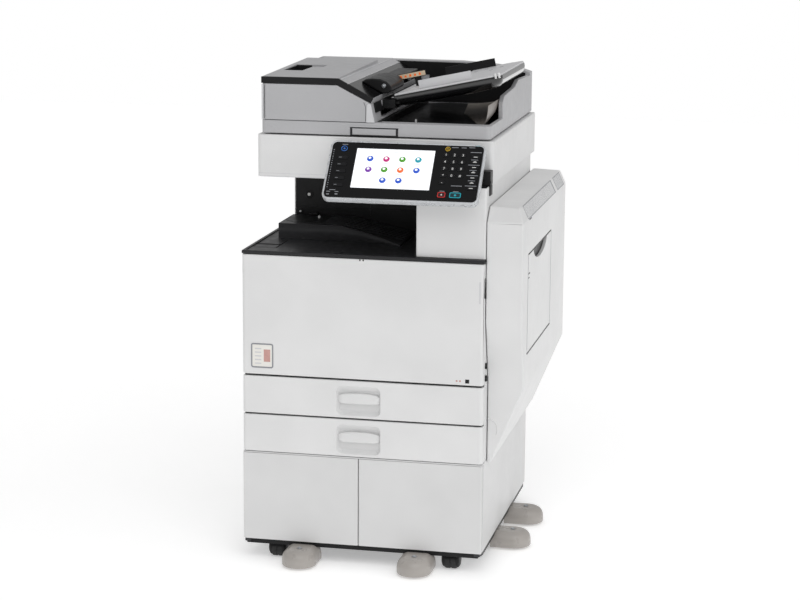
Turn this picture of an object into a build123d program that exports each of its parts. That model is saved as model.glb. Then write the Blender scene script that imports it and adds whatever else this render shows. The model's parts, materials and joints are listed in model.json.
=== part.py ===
from build123d import *
import os
from math import atan2, cos, degrees, radians, sin

# Floor-standing office copier: a paper cabinet on casters, two paper trays, the print
# engine behind a front door, an exit space inside the body, a flatbed scanner with a
# document feeder on top, a tilting panel in front and a hinged paper path on the right.
#
# Everything is drawn in millimetres from a datum on the floor, midway across the cabinet
# and under its front face: +X to the right, +Y to the rear, +Z up. save() moves each
# piece so that the origin is on the floor under the middle of the whole machine.

# ---- Driving dimensions ----------------------------------------------------------------
BODY_W = 587.0            # width of cabinet, trays and front door
BODY_D = 662.0            # front face to rear cover
HALF = BODY_W / 2
RIGHT_X = 381.0           # outer face of the right-hand paper path
REAR_Y = 700.0            # rear of the right-hand paper path
FOOT_TIP_Y = -75.0        # front of the front stabilizer feet

FLOOR_Z = 50.0            # underside of the cabinet
CABINET_Z = 267.5         # top of the cabinet walls
TRAY_Z = (367.0, 272.0)   # bottom of tray 1 and of tray 2
TRAY_H = 91.0
DOOR_Z = (462.5, 753.5)   # front door, bottom and top
EXIT_Z = 763.0            # rim of the exit tray
SCANNER_Z = (930.5, 1032.0)
FEEDER_Z = 1036.0         # underside of the document feeder
FEEDER_TOP = 1166.8

FACE_T = 22.0             # thickness of front door and tray fronts
CORNER = 9.0              # upright corners of the front door and tray fronts
SHEET = 3.0               # sheet metal and plastic walls
COVER_Y = 24.5            # front edge of the side covers
FRAME_Y = (25.0, 655.0)   # sheet metal frame, front and rear
COLUMN_X = -254.0         # left face of the column behind the exit tray
COLUMN_Y = 345.0          # front face of that column
RUN = 0.05                # radial clearance of pins and shafts in their bores

ORIGIN = Vector((RIGHT_X - HALF) / 2, (REAR_Y + FOOT_TIP_Y) / 2, 0)

os.makedirs("parts", exist_ok=True)


# ---- Helpers -----------------------------------------------------------------------------
def save(piece, label):
    """Move a finished piece to the machine's origin and write its STEP file."""
    placed = piece.part.moved(Location(-ORIGIN))
    placed.label = label
    export_step(placed, f"parts/{label}.step")


def slab(x, y, z, mode=Mode.ADD):
    """A box between two limits on each axis, in the part being built."""
    with Locations(((x[0] + x[1]) / 2, (y[0] + y[1]) / 2, (z[0] + z[1]) / 2)):
        Box(x[1] - x[0], y[1] - y[0], z[1] - z[0], mode=mode)


def rod(start, along, radius, length, mode=Mode.ADD):
    """A cylinder from a start point along an axis, in the part being built."""
    with Locations(Plane(origin=start, z_dir=along)):
        Cylinder(radius, length, align=(Align.CENTER, Align.CENTER, Align.MIN), mode=mode)


def front_profile(points, y, mode=Mode.ADD):
    """An outline of (x, z) points, extruded between two depths."""
    with BuildSketch(Plane.XZ.offset(-y[0])) as outline:
        Polygon(*points, align=None)
    extrude(outline.sketch, amount=y[0] - y[1], mode=mode)


def side_profile(points, x, mode=Mode.ADD):
    """An outline of (y, z) points, extruded between two widths."""
    with BuildSketch(Plane.YZ.offset(x[0])) as outline:
        Polygon(*points, align=None)
    extrude(outline.sketch, amount=x[1] - x[0], mode=mode)


X, Y, Z = (1, 0, 0), (0, 1, 0), (0, 0, 1)
CUT = Mode.SUBTRACT

# ---- Cabinet -----------------------------------------------------------------------------
CABINET_WALL = 14.0
CABINET_DOOR_T = 18.0
CABINET_DOOR_Z = (51.0, 267.0)
DOOR_PIN = (283.0, 9.0)          # pivot of the cabinet doors, from the middle and the front
DOOR_PIN_R = 3.0
DOOR_SPLIT = -7.5
CASTER_X = 215.0
CASTER_Y = 62.0                  # swivel axis of the front casters
REAR_CASTER_Y = 600.0
STEM_R = 6.0

with BuildPart() as cabinet_shell:
    slab((-HALF, HALF), (20.5, BODY_D), (FLOOR_Z, CABINET_Z))
    fillet(cabinet_shell.edges().filter_by(Axis.Z).group_by(Axis.Y)[-1], 6)
    inner_x = HALF - CABINET_WALL
    slab((-inner_x, inner_x), (20, BODY_D - 8), (FLOOR_Z + 12, CABINET_Z - 10), CUT)
    slab((-HALF, HALF), (1, BODY_D - 2), (CABINET_Z, CABINET_Z + SHEET))
    for side in (-1, 1):
        pin_x, pin_y = side * DOOR_PIN[0], DOOR_PIN[1]
        rod((pin_x, pin_y, CABINET_Z - 1), Z, DOOR_PIN_R + RUN, 5, CUT)
        rod((side * CASTER_X, CASTER_Y, FLOOR_Z - 1), Z, STEM_R + RUN, 11.5, CUT)
save(cabinet_shell, "cabinet_shell")


def cabinet_door(x, side):
    """One cabinet door: a panel, open at the back, turning on pins at its outer edge."""
    with BuildPart() as door:
        slab(x, (0, CABINET_DOOR_T), CABINET_DOOR_Z)
        uprights = door.edges().filter_by(Axis.Z).group_by(Axis.Y)
        fillet(uprights[-1].sort_by(Axis.X)[0 if side < 0 else -1], 9)
        fillet(door.edges().filter_by(Axis.Z).group_by(Axis.Y)[0], 3)
        hinge_rim, free_rim = 24, 9
        low = x[0] + (hinge_rim if side < 0 else free_rim)
        high = x[1] - (free_rim if side < 0 else hinge_rim)
        slab((low, high), (6, CABINET_DOOR_T), (60, 258), CUT)
        pin_x, pin_y = side * DOOR_PIN[0], DOOR_PIN[1]
        rod((pin_x, pin_y, 44), Z, DOOR_PIN_R, 8)
        rod((pin_x, pin_y, 266), Z, DOOR_PIN_R, 4)
    return door


save(cabinet_door((-HALF, DOOR_SPLIT - 0.8), -1), "cabinet_door_left")
save(cabinet_door((DOOR_SPLIT + 0.8, HALF), 1), "cabinet_door_right")

# ---- Underframe, stabilizer feet and casters -----------------------------------------------
WHEEL_R = 22.0
WHEEL_W = 30.0
CHEEK_X = (WHEEL_W / 2 + 1.5, WHEEL_W / 2 + 5)   # fork cheeks, from the wheel's middle
AXLE_R = 3.0
TRAIL = 22.0                     # the wheel's axle is this far in front of the swivel axis
FRONT_FEET_X = (-145.0, 138.0)
SIDE_FEET_Y = (245.0, 450.0)
TONGUE_Z = (30.0, 36.0)
UNDERFRAME_Y = 42.0              # front edge of the underframe, set back from the doors
FOOT_R = 42.0
FOOT_LENGTH = 36.5               # straight part of a foot, from the cabinet outwards
PAD_R = 22.0

with BuildPart() as underframe:
    slab((-290, 290), (UNDERFRAME_Y, 655), (36, FLOOR_Z))
    for side in (-1, 1):
        x = side * CASTER_X
        slab((x - 56, x + 56), (UNDERFRAME_Y - 1, CASTER_Y + 56), (35, 51), CUT)
        slab((x - CHEEK_X[0], x + CHEEK_X[0]), (574, 626), (35, 51), CUT)
        for low, high in ((-CHEEK_X[1], -CHEEK_X[0]), CHEEK_X):
            slab((x + low, x + high), (588, 612), (12, 37))
        rod((x - CHEEK_X[1], REAR_CASTER_Y, WHEEL_R), X, AXLE_R, 2 * CHEEK_X[1])
        slab((side * 283 - 7, side * 283 + 7), (2, UNDERFRAME_Y + 1), (43.5, FLOOR_Z))
        rod((side * DOOR_PIN[0], DOOR_PIN[1], 43), Z, DOOR_PIN_R + RUN, 8, CUT)
    for x in FRONT_FEET_X:
        slab((x - 22, x + 22), (-40, 80), TONGUE_Z)
    for y in SIDE_FEET_Y:
        slab((255, 340), (y - 22, y + 22), TONGUE_Z)
save(underframe, "underframe")


def foot_dome(half_width, top, inset):
    """A tongue-shaped dome that points to -Y, from its straight edge at y = 0."""
    shoulder = 20.0
    with BuildPart() as dome:
        with BuildSketch(Plane.XY.offset(8)) as outline:
            with Locations((0, -FOOT_LENGTH)):
                Circle(half_width)
            with Locations((0, 0)):
                Rectangle(2 * half_width, 2 * FOOT_LENGTH)
        extrude(amount=shoulder - 8)
        with BuildSketch(Plane.XY.offset(shoulder)):
            add(outline.sketch_local)
        extrude(amount=top - shoulder, taper=degrees(atan2(inset, top - shoulder)))
        slab((-60, 60), (0, 60), (0, 60), CUT)
    return dome


with BuildPart() as foot:
    add(foot_dome(FOOT_R, 46, 22).part)
    add(foot_dome(FOOT_R - SHEET, 43, 21).part, mode=CUT)

FOOT_PLACES = [Location((x, 3.5, 0)) for x in FRONT_FEET_X]
FOOT_PLACES += [Location((296.5, y, 0), (0, 0, 90)) for y in SIDE_FEET_Y]

with BuildPart() as stabilizer_feet:
    with Locations(*FOOT_PLACES):
        add(foot.part)
save(stabilizer_feet, "stabilizer_feet")

PAD_PLACES = [(x, -28.0) for x in FRONT_FEET_X] + [(333.0, y) for y in SIDE_FEET_Y]
with BuildPart() as foot_pads:
    for x, y in PAD_PLACES:
        rod((x, y, 0), Z, PAD_R, 7)
        rod((x, y, 7), Z, 5, TONGUE_Z[0] - 7)
    fillet(foot_pads.edges().filter_by(GeomType.CIRCLE).group_by(Axis.Z)[0], 1.5)
save(foot_pads, "foot_pads")


def caster_fork(x):
    """A swivelling fork: stem, bridge, two cheeks and the axle between them."""
    axle_y = CASTER_Y - TRAIL
    with BuildPart() as fork:
        rod((x, CASTER_Y, 45.5), Z, STEM_R, 14)
        slab((x - CHEEK_X[1], x + CHEEK_X[1]), (axle_y - 6, CASTER_Y + 12), (45.5, 49.5))
        cheek = [(axle_y - 7, 17), (axle_y + 7, 17), (CASTER_Y + 12, 45.5),
                 (CASTER_Y + 12, 47), (axle_y - 7, 47)]
        side_profile(cheek, (x - CHEEK_X[1], x - CHEEK_X[0]))
        side_profile(cheek, (x + CHEEK_X[0], x + CHEEK_X[1]))
        rod((x - CHEEK_X[0] - 1, axle_y, WHEEL_R), X, AXLE_R, 2 * CHEEK_X[0] + 2)
    return fork


def caster_wheel(x, y):
    """A caster wheel with rounded tread and a bore for the fork's axle."""
    with BuildPart() as wheel:
        rod((x - WHEEL_W / 2, y, WHEEL_R), X, WHEEL_R, WHEEL_W)
        fillet(wheel.edges().filter_by(GeomType.CIRCLE), 3)
        rod((x - WHEEL_W, y, WHEEL_R), X, AXLE_R + RUN, 2 * WHEEL_W, CUT)
    return wheel


for name, side in (("left", -1), ("right", 1)):
    save(caster_fork(side * CASTER_X), f"caster_fork_{name}")
    save(caster_wheel(side * CASTER_X, CASTER_Y - TRAIL), f"caster_wheel_front_{name}")
    save(caster_wheel(side * CASTER_X, REAR_CASTER_Y), f"caster_wheel_rear_{name}")

# ---- Print engine places, shared by the frame and the rollers --------------------------------
ENGINE_PLATES = (60.0, 440.0)    # front faces of the two plates that carry the rollers
SHAFT_Y = (56.0, 447.0)
# centre (x, z), shaft radius, roller radius
DRUM = ((170.0, 590.0), 6.0, 30.0)
TRANSFER = ((212.6, 590.0), 4.0, 12.0)
TONER = ((20.0, 650.0), 10.0, 45.0)
FUSER = ((180.0, 695.0), 8.0, 20.0)
PRESSURE = ((218.6, 695.0), 6.0, 18.0)
EXIT_ROLLER = (131.0, 800.0)
EXIT_ROLLER_R = 12.0
EXIT_ROLLERS_Y = (190.0, 230.0, 270.0, 310.0)
PAPER_PATH_Y = (120.0, 560.0)    # opening on the right that the paper path covers
PAPER_PATH_Z = (400.0, 735.0)

FRONT_PIN = (-288.5, 18.5)       # pivot of the front door
FRONT_PIN_R = 2.5
FRONT_LUGS_Z = (468.0, 744.0)
LUG_T = 4.0
DUPLEX_PIN = (304.0, 668.0)      # pivot of the right-hand paper path
DUPLEX_PIN_R = 2.5
DUPLEX_LUGS_Z = (298.0, 858.0)
INLET = (-220.0, 330.0)          # power inlet, (x, z)

# ---- Main frame and covers -------------------------------------------------------------------
with BuildPart() as main_frame:
    slab((-286, 286), FRAME_Y, (271, 274))
    for x in ((-286, -283), (283, 286)):
        slab(x, FRAME_Y, (274, 744))
    for x in ((COLUMN_X + 4, COLUMN_X + 7), (283, 286)):
        slab(x, (352, 655), (744, SCANNER_Z[0]))
    slab((-286, 286), (652, 655), (274, 744))
    slab((COLUMN_X + 4, 286), (652, 655), (744, SCANNER_Z[0]))
    slab((-283, 283), (30, 652), (459, 462))
    slab((-283, 283), (30, 652), (741, 744))
    slab((COLUMN_X + 4, 286), (352, 655), (SCANNER_Z[0] - 3, SCANNER_Z[0]))
    slab((236, 286), (40, 43), (744, SCANNER_Z[0]))
    slab((283, 286), (43, 90), (744, SCANNER_Z[0]))
    for y in ENGINE_PLATES:
        slab((-283, 283), (y, y + SHEET), (462, 741))
    for x in ((-283, -240), (240, 283)):
        slab(x, (40, 640), (274, TRAY_Z[1] + 5.6))
        slab(x, (40, 640), (TRAY_Z[0] + 2.6, TRAY_Z[0] + 5.6))
    for z in FRONT_LUGS_Z:
        rod((*FRONT_PIN, z), Z, 4.5, LUG_T)
        slab((-289.5, -283), (FRONT_PIN[1], 28), (z, z + LUG_T))
        rod((*FRONT_PIN, z - 1), Z, FRONT_PIN_R + RUN, LUG_T + 2, CUT)
    for (x, z), shaft_r, roller_r in (DRUM, TRANSFER, TONER, FUSER, PRESSURE):
        rod((x, 50, z), Y, shaft_r + RUN, 400, CUT)
    slab((282, 287), PAPER_PATH_Y, PAPER_PATH_Z, CUT)
    slab((INLET[0] - 15, INLET[0] + 15), (650, 656), (INLET[1] - 12, INLET[1] + 12), CUT)
save(main_frame, "main_frame")

with BuildPart() as left_cover:
    slab((-HALF, -HALF + SHEET), (COVER_Y, 657.5), (272, 755))
    slab((-HALF, COLUMN_X + SHEET), (COLUMN_Y, 657.5), (752, 755))
    slab((COLUMN_X, COLUMN_X + SHEET), (COLUMN_Y, 657.5), (755, SCANNER_Z[0]))
save(left_cover, "left_cover")

with BuildPart() as right_cover:
    slab((HALF - SHEET, HALF), (COVER_Y, 660), (272, 755))
    slab((HALF - SHEET, HALF), (341, 660), (755, SCANNER_Z[0]))
    slab((HALF - 4, HALF + 1), PAPER_PATH_Y, PAPER_PATH_Z, CUT)
    for z in DUPLEX_LUGS_Z:
        slab((HALF - SHEET, DUPLEX_PIN[0]), (650, 674), (z, z + 6))
        rod((*DUPLEX_PIN, z), Z, 6, 6)
        rod((*DUPLEX_PIN, z - 1), Z, DUPLEX_PIN_R + RUN, 8, CUT)
save(right_cover, "right_cover")

VENT_ROWS = 14
with BuildPart() as rear_cover:
    slab((-290, 290), (658, BODY_D), (272, 755))
    slab((COLUMN_X + 4, 290), (658, BODY_D), (755, SCANNER_Z[0] - 1))
    with Locations(Plane.XZ.offset(-660) * Location((150, 620, 0))):
        with GridLocations(0, 8, 1, VENT_ROWS):
            Box(160, 3.5, 10, mode=CUT)
    with Locations(Plane.XZ.offset(-660) * Location((-120, 840, 0))):
        with GridLocations(0, 8, 1, 10):
            Box(120, 3.5, 10, mode=CUT)
    slab((INLET[0] - 15, INLET[0] + 15), (657, 663), (INLET[1] - 12, INLET[1] + 12), CUT)
save(rear_cover, "rear_cover")

with BuildPart() as power_inlet:
    x, z = INLET
    slab((x - 25, x + 25), (BODY_D, BODY_D + 3), (z - 16, z + 16))
    fillet(power_inlet.edges().filter_by(Axis.Y), 4)
    slab((x - 14.5, x + 14.5), (636, BODY_D), (z - 11.5, z + 11.5))
    slab((x - 12, x + 12), (646, BODY_D + 4), (z - 8.5, z + 8.5), CUT)
    for dx, dz in ((-7, -2), (7, -2), (0, 3)):
        slab((x + dx - 1, x + dx + 1), (645, 660), (z + dz - 2, z + dz + 2))
save(power_inlet, "power_inlet")

GRIP_Z = (673.0, 718.0)
with BuildPart() as front_door:
    slab((-HALF, HALF), (0, FACE_T), DOOR_Z)
    fillet(front_door.edges().filter_by(Axis.Z).group_by(Axis.Y)[0], CORNER)
    slab((-HALF + SHEET, HALF - 10), (SHEET, FACE_T),
         (DOOR_Z[0] + SHEET, DOOR_Z[1] - SHEET), CUT)
    for z in FRONT_LUGS_Z:
        slab((-HALF - 1, -HALF + SHEET), (12, FACE_T), (z - 1.5, z + LUG_T + 1.5), CUT)
    rod((*FRONT_PIN, DOOR_Z[0] + 2), Z, FRONT_PIN_R, 9.5)
    rod((*FRONT_PIN, 742), Z, FRONT_PIN_R, DOOR_Z[1] - 2 - 742)
    slab((HALF - 6.5, HALF + 1), (5, 16), GRIP_Z, CUT)
save(front_door, "front_door")

# ---- Exit space ------------------------------------------------------------------------------
PILLAR_X = (127.0, HALF)
PILLAR_Y = (12.0, 340.0)
RAMP_TOP = 797.0

with BuildPart() as exit_tray:
    slab((-HALF, HALF), (0, 24), (755.5, EXIT_Z))
    slab((-HALF, 125), (0, COLUMN_Y - 0.5), (755.5, EXIT_Z))
    fillet(exit_tray.edges().filter_by(Axis.X).group_by(Axis.Y)[0].sort_by(Axis.Z)[-1], 3)
    slab((-286, 120), (10, COLUMN_Y - 2), (760, EXIT_Z + 1), CUT)
    with BuildSketch(Plane.XY.offset(759)):
        with BuildLine():
            Polyline((60, COLUMN_Y - 1), (-258, COLUMN_Y - 1), (-258, 203), (-90, 198))
            ThreePointArc((-90, 198), (0, 182), (60, 148))
            Line((60, 148), (60, COLUMN_Y - 1))
        make_face()
    extrude(amount=RAMP_TOP - 759)
    front_profile([(-100, RAMP_TOP), (62, 763), (62, 810), (-100, 810)], (100, 345), CUT)
    slab((-294, 300), (COLUMN_Y - 0.5, 350), (750, 810), CUT)
save(exit_tray, "exit_tray")

WALL_X = 121.0
with BuildPart() as exit_wall:
    slab((COLUMN_X + SHEET, WALL_X + 4), (COLUMN_Y, COLUMN_Y + 4), (755.5, SCANNER_Z[0] - 1))
    slab((WALL_X, WALL_X + 4), (156, COLUMN_Y), (EXIT_Z, SCANNER_Z[0] - 1))
    for y in EXIT_ROLLERS_Y:
        slab((WALL_X - 1, WALL_X + 5), (y - 10, y + 10), (786, 814), CUT)
    for y in (166, 336):
        slab((WALL_X + 4, WALL_X + 20), (y, y + 4), (792, 808))
        rod((EXIT_ROLLER[0], y - 1, EXIT_ROLLER[1]), Y, 3 + RUN, 6, CUT)
    rod((-216, COLUMN_Y - 1, 849), Y, 7, 6, CUT)
save(exit_wall, "exit_wall")

with BuildPart() as exit_roller:
    rod((EXIT_ROLLER[0], 163, EXIT_ROLLER[1]), Y, 3, 180)
    for y in EXIT_ROLLERS_Y:
        rod((EXIT_ROLLER[0], y - 8, EXIT_ROLLER[1]), Y, EXIT_ROLLER_R, 16)
save(exit_roller, "exit_roller")

with BuildPart() as front_pillar:
    slab(PILLAR_X, PILLAR_Y, (755.5, SCANNER_Z[0]))
    fillet(front_pillar.edges().filter_by(Axis.Z).group_by(Axis.Y)[0], 5)
    slab((PILLAR_X[0] + SHEET, PILLAR_X[1] - SHEET), (15, 341), (755, 931), CUT)
    slab((PILLAR_X[0] - 1, PILLAR_X[0] + 4), (155, 341), (755, 931), CUT)
    slab((126, 294), (11, COVER_Y), (755, EXIT_Z + 0.3), CUT)
    slab((290, 294), (COVER_Y - 1, 341), (755, 755.5), CUT)
save(front_pillar, "front_pillar")

# ---- Print engine ----------------------------------------------------------------------------


def roller(place, shaft_r, roller_r, y):
    """A roller on its shaft, along Y."""
    x, z = place
    with BuildPart() as piece:
        rod((x, SHAFT_Y[0], z), Y, shaft_r, SHAFT_Y[1] - SHAFT_Y[0])
        rod((x, y[0], z), Y, roller_r, y[1] - y[0])
        ends = piece.edges().filter_by(GeomType.CIRCLE).filter_by(
            lambda edge: abs(edge.radius - roller_r) < 0.01)
        fillet(ends, 1)
    return piece


save(roller(*DRUM, (72, 432)), "drum")
save(roller(*TRANSFER, (76, 428)), "transfer_roller")
save(roller(*FUSER, (72, 432)), "fuser_roller")
save(roller(*PRESSURE, (76, 428)), "pressure_roller")

with BuildPart() as toner_bottle:
    add(roller(*TONER, (75, 410)).part)
    x, z = TONER[0]
    for y in range(110, 400, 24):
        rod((x, y, z), Y, TONER[2] + 1, 8, CUT)
        rod((x, y, z), Y, TONER[2] - 3, 8)
save(toner_bottle, "toner_bottle")

# ---- Paper trays -----------------------------------------------------------------------------
HANDLE_X = (-61.0, 45.0)
GRIP_BAR_Z = (32.0, 58.0)        # grip bar, above the tray's bottom edge
BOX_X = 262.0
BOX_Y = (FACE_T, 560.0)
LIFT_X = -147.0                  # pivot of the paper lifting plate
LIFT_Z = 14.0                    # its height above the tray's bottom edge
LIFT_PIN_R = 2.5


def tray_front(base):
    """A tray's front with a scooped recess and a grip bar across it."""
    with BuildPart() as front:
        slab((-HALF, HALF), (0, FACE_T), (base, base + TRAY_H))
        fillet(front.edges().filter_by(Axis.Z).group_by(Axis.Y)[0], CORNER)
        with BuildSketch(Plane.XZ):
            with Locations((sum(HANDLE_X) / 2, base + 42)):
                RectangleRounded(HANDLE_X[1] - HANDLE_X[0], 70, 14)
        extrude(amount=-16, mode=CUT)
        slab((HANDLE_X[0] - 1, HANDLE_X[1] + 1), (1, 8), (base + GRIP_BAR_Z[0], base + GRIP_BAR_Z[1]))
    return front


def tray_box(base):
    """A paper box, open at the top, with bearings for the lifting plate."""
    with BuildPart() as box:
        slab((-BOX_X, BOX_X), BOX_Y, (base + 6, base + 84))
        slab((-BOX_X + 4, BOX_X - 4), (BOX_Y[0] + 4, BOX_Y[1] - 4), (base + 9, base + 85), CUT)
        rod((LIFT_X, BOX_Y[0] + 0.5, base + LIFT_Z), Y, LIFT_PIN_R + RUN,
            BOX_Y[1] - BOX_Y[0] - 1, CUT)
    return box


def lift_plate(base):
    """The plate that lifts the paper at its right end."""
    with BuildPart() as plate:
        slab((LIFT_X, 250), (BOX_Y[0] + 7, BOX_Y[1] - 7), (base + 11, base + 14))
        rod((LIFT_X, BOX_Y[0] + 7, base + LIFT_Z), Y, 3, BOX_Y[1] - BOX_Y[0] - 14)
        rod((LIFT_X, BOX_Y[0] + 1, base + LIFT_Z), Y, LIFT_PIN_R, BOX_Y[1] - BOX_Y[0] - 2)
    return plate


for number, base in enumerate(TRAY_Z, start=1):
    save(tray_front(base), f"tray_{number}_front")
    save(tray_box(base), f"tray_{number}_box")
    save(lift_plate(base), f"tray_{number}_lift_plate")

# ---- Right-hand paper path and bypass tray ---------------------------------------------------
BYPASS_Y = (95.0, 455.0)
BYPASS_Z = (527.0, 763.0)
BYPASS_PIN = (376.8, 533.0)      # pivot, (x, z)
BYPASS_PIN_R = 2.0

with BuildPart() as duplex_door:
    front_profile([(295, 264), (303, 262), (RIGHT_X, 448), (RIGHT_X, 850), (366, 882),
                   (295, 885)], (12, REAR_Y))
    side_profile([(0, 260), (55, 260), (55, 466), (12, 615), (0, 615)], (290, 400), CUT)
    side_profile([(0, 852), (12, 852), (50, 886), (0, 886)], (290, 400), CUT)
    front_profile([(294, 270), (301, 270), (358, 440), (358, 848), (352, 877), (294, 880)],
                  (62, REAR_Y - 6), CUT)
    slab((294, 358), (19, 63), (622, 846), CUT)
    slab((369, 382), (BYPASS_Y[0] - 2, BYPASS_Y[1] + 2), (BYPASS_Z[0] - 2, BYPASS_Z[1] + 2), CUT)
    for y in (BYPASS_Y[0] - 6, BYPASS_Y[1]):
        rod((BYPASS_PIN[0], y, BYPASS_PIN[1]), Y, BYPASS_PIN_R + RUN, 6, CUT)
    rod((*DUPLEX_PIN, 272), Z, DUPLEX_PIN_R, DUPLEX_LUGS_Z[0] + 9 - 272)
    rod((*DUPLEX_PIN, DUPLEX_LUGS_Z[1] - 3), Z, DUPLEX_PIN_R, 882 - DUPLEX_LUGS_Z[1] + 3)
save(duplex_door, "duplex_door")

with BuildPart() as bypass_tray:
    slab((372.5, 380.8), BYPASS_Y, BYPASS_Z)
    fillet(bypass_tray.edges().filter_by(Axis.X), 4)
    with BuildSketch(Plane.YZ.offset(370)):
        with Locations((281.5, BYPASS_Z[1])):
            Ellipse(103.5, 31)
    extrude(amount=15, mode=CUT)
    rod((BYPASS_PIN[0], BYPASS_Y[0] - 5, BYPASS_PIN[1]), Y, BYPASS_PIN_R, 10)
    rod((BYPASS_PIN[0], BYPASS_Y[1] - 5, BYPASS_PIN[1]), Y, BYPASS_PIN_R, 10)
save(bypass_tray, "bypass_tray")

# ---- Scanner ---------------------------------------------------------------------------------
SCANNER_X = (-273.7, 299.0)
SCANNER_Y = (72.0, 699.0)
GLASS_X = (-200.0, 240.0)
GLASS_Y = (150.0, 470.0)
SLIT_X = (-245.0, -222.0)
RAILS_Y = (120.0, 505.0)
RAIL_Z = 970.0
RAIL_R = 4.0

with BuildPart() as scanner_housing:
    slab(SCANNER_X, SCANNER_Y, SCANNER_Z)
    fillet(scanner_housing.edges().filter_by(Axis.Z), 12)
    fillet(scanner_housing.faces().sort_by(Axis.Z)[-1].edges(), 3)
    slab((-262, 287), (84, 687), (940, 1026), CUT)
    for x in (GLASS_X, SLIT_X):
        slab(x, GLASS_Y, (1028.5, 1033), CUT)
        slab((x[0] + 3, x[1] - 3), (GLASS_Y[0] + 3, GLASS_Y[1] - 3), (1020, 1030), CUT)
    for y in RAILS_Y:
        rod((-263, y, RAIL_Z), X, RAIL_R, 551)
save(scanner_housing, "scanner_housing")

with BuildPart() as contact_glass:
    for x in (GLASS_X, SLIT_X):
        slab((x[0] + 0.1, x[1] - 0.1), (GLASS_Y[0] + 0.1, GLASS_Y[1] - 0.1), (1028.5, 1032))
save(contact_glass, "contact_glass")


def carriage(x, top):
    """A carriage across the scanner, with a bore for each rail."""
    with BuildPart() as piece:
        slab(x, (108, 517), (976, top))
        for y in RAILS_Y:
            slab(x, (y - 9, y + 9), (960, 977))
            rod((x[0] - 1, y, RAIL_Z), X, RAIL_R + RUN, x[1] - x[0] + 2, CUT)
        slab((x[0] + 8, x[1] - 8), (135, 490), (982, top + 1), CUT)
    return piece


save(carriage((-205, -150), 1018), "scan_carriage")
save(carriage((-255, -215), 1010), "mirror_carriage")

# ---- Document feeder -------------------------------------------------------------------------
FEEDER_X = (-263.0, 290.0)
FEEDER_Y = (72.0, 686.0)
LID_PIN = (693.5, 1042.0)        # lid hinge axis, (y, z)
LID_PIN_R = 4.0
LID_HINGES_X = (-170.0, 170.0)
HOUSING_Y = (72.0, 650.0)
COVER_PIN = (-255.5, 1160.3)     # feed cover hinge axis, (x, z)
COVER_LUGS_Y = (110.0, 600.0)
LEVER_PIN = (-175.5, 1164.2)     # lever hinge axis, (x, z)
TABLE_PIN = (34.0, 1106.0)       # input table hinge axis, (x, z)
TABLE_SLOPE = atan2(0.215, 1.0)
TABLE_Y = (180.0, 550.0)
FEED_ROLLER = (-60.0, 1100.0)

with BuildPart() as adf_hinges:
    for x in LID_HINGES_X:
        slab((x - 20, x + 20), (687.5, 699), (SCANNER_Z[1], LID_PIN[1]))
        rod((x - 20, *LID_PIN), X, 6, 40)
        rod((x - 21, *LID_PIN), X, LID_PIN_R + RUN, 42, CUT)
save(adf_hinges, "adf_hinges")

with BuildPart() as adf_base:
    slab(FEEDER_X, FEEDER_Y, (FEEDER_Z, 1067))
    fillet(adf_base.edges().filter_by(Axis.Z).group_by(Axis.Y)[0], 12)
    front_profile([(-263, 1066), (-263, 1150), (-92, 1163), (112, 1162), (200, 1156),
                   (265, 1147), (290, 1139), (290, 1066)], (655, FEEDER_Y[1]))
    side_profile([(240, 1066), (240, 1105), (262, 1119), (414, 1125), (470, 1138), (656, 1131),
                  (656, 1066)], (279, 290))
    slab((22, 279), (110, 655), (1050, 1068), CUT)
    slab((-250, 8), (90, 640), (1046, 1068), CUT)
    for x in LID_HINGES_X:
        for ear, pin in (((x - 28, x - 20.5), x - 22), ((x + 20.5, x + 28), x + 8)):
            slab(ear, (FEEDER_Y[1] - 1, 698.5), (1037, 1048))
            rod((pin, *LID_PIN), X, LID_PIN_R, 14)
save(adf_base, "adf_base")

with BuildPart() as platen_pad:
    slab((-205, 245), (145, 475), (1032.6, FEEDER_Z))
    fillet(platen_pad.edges().filter_by(Axis.Z), 4)
save(platen_pad, "platen_pad")

with BuildPart() as adf_feed_housing:
    front_profile([(-262, 1067), (-262, 1153), (-78, 1153), (4, 1112), (14, 1067)], HOUSING_Y)
    fillet(adf_feed_housing.edges().filter_by(Axis.Z).group_by(Axis.X)[0], 12)
    front_profile([(-254, 1066), (-254, 1147), (-82, 1147), (-5, 1108), (4, 1066)],
                  (82, 640), CUT)
    slab((-240, -95), (150, 560), (1140, 1154), CUT)
    slab((-20, 20), (150, 560), (1072, 1088), CUT)
    for y in COVER_LUGS_Y:
        slab((COVER_PIN[0] - 5, COVER_PIN[0] + 5), (y, y + 12), (1150, COVER_PIN[1]))
        rod((COVER_PIN[0], y, COVER_PIN[1]), Y, 5, 12)
        rod((COVER_PIN[0], y - 1, COVER_PIN[1]), Y, 2 + RUN, 14, CUT)
    for y in (TABLE_Y[0] - 12, TABLE_Y[1] + 1):
        slab((0, TABLE_PIN[0] + 6), (y, y + 11), (1092, 1111))
        rod((TABLE_PIN[0], y - 1, TABLE_PIN[1]), Y, 2.5 + RUN, 13, CUT)
    rod((FEED_ROLLER[0], 76, FEED_ROLLER[1]), Y, 4 + RUN, 570, CUT)
save(adf_feed_housing, "adf_feed_housing")

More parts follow.
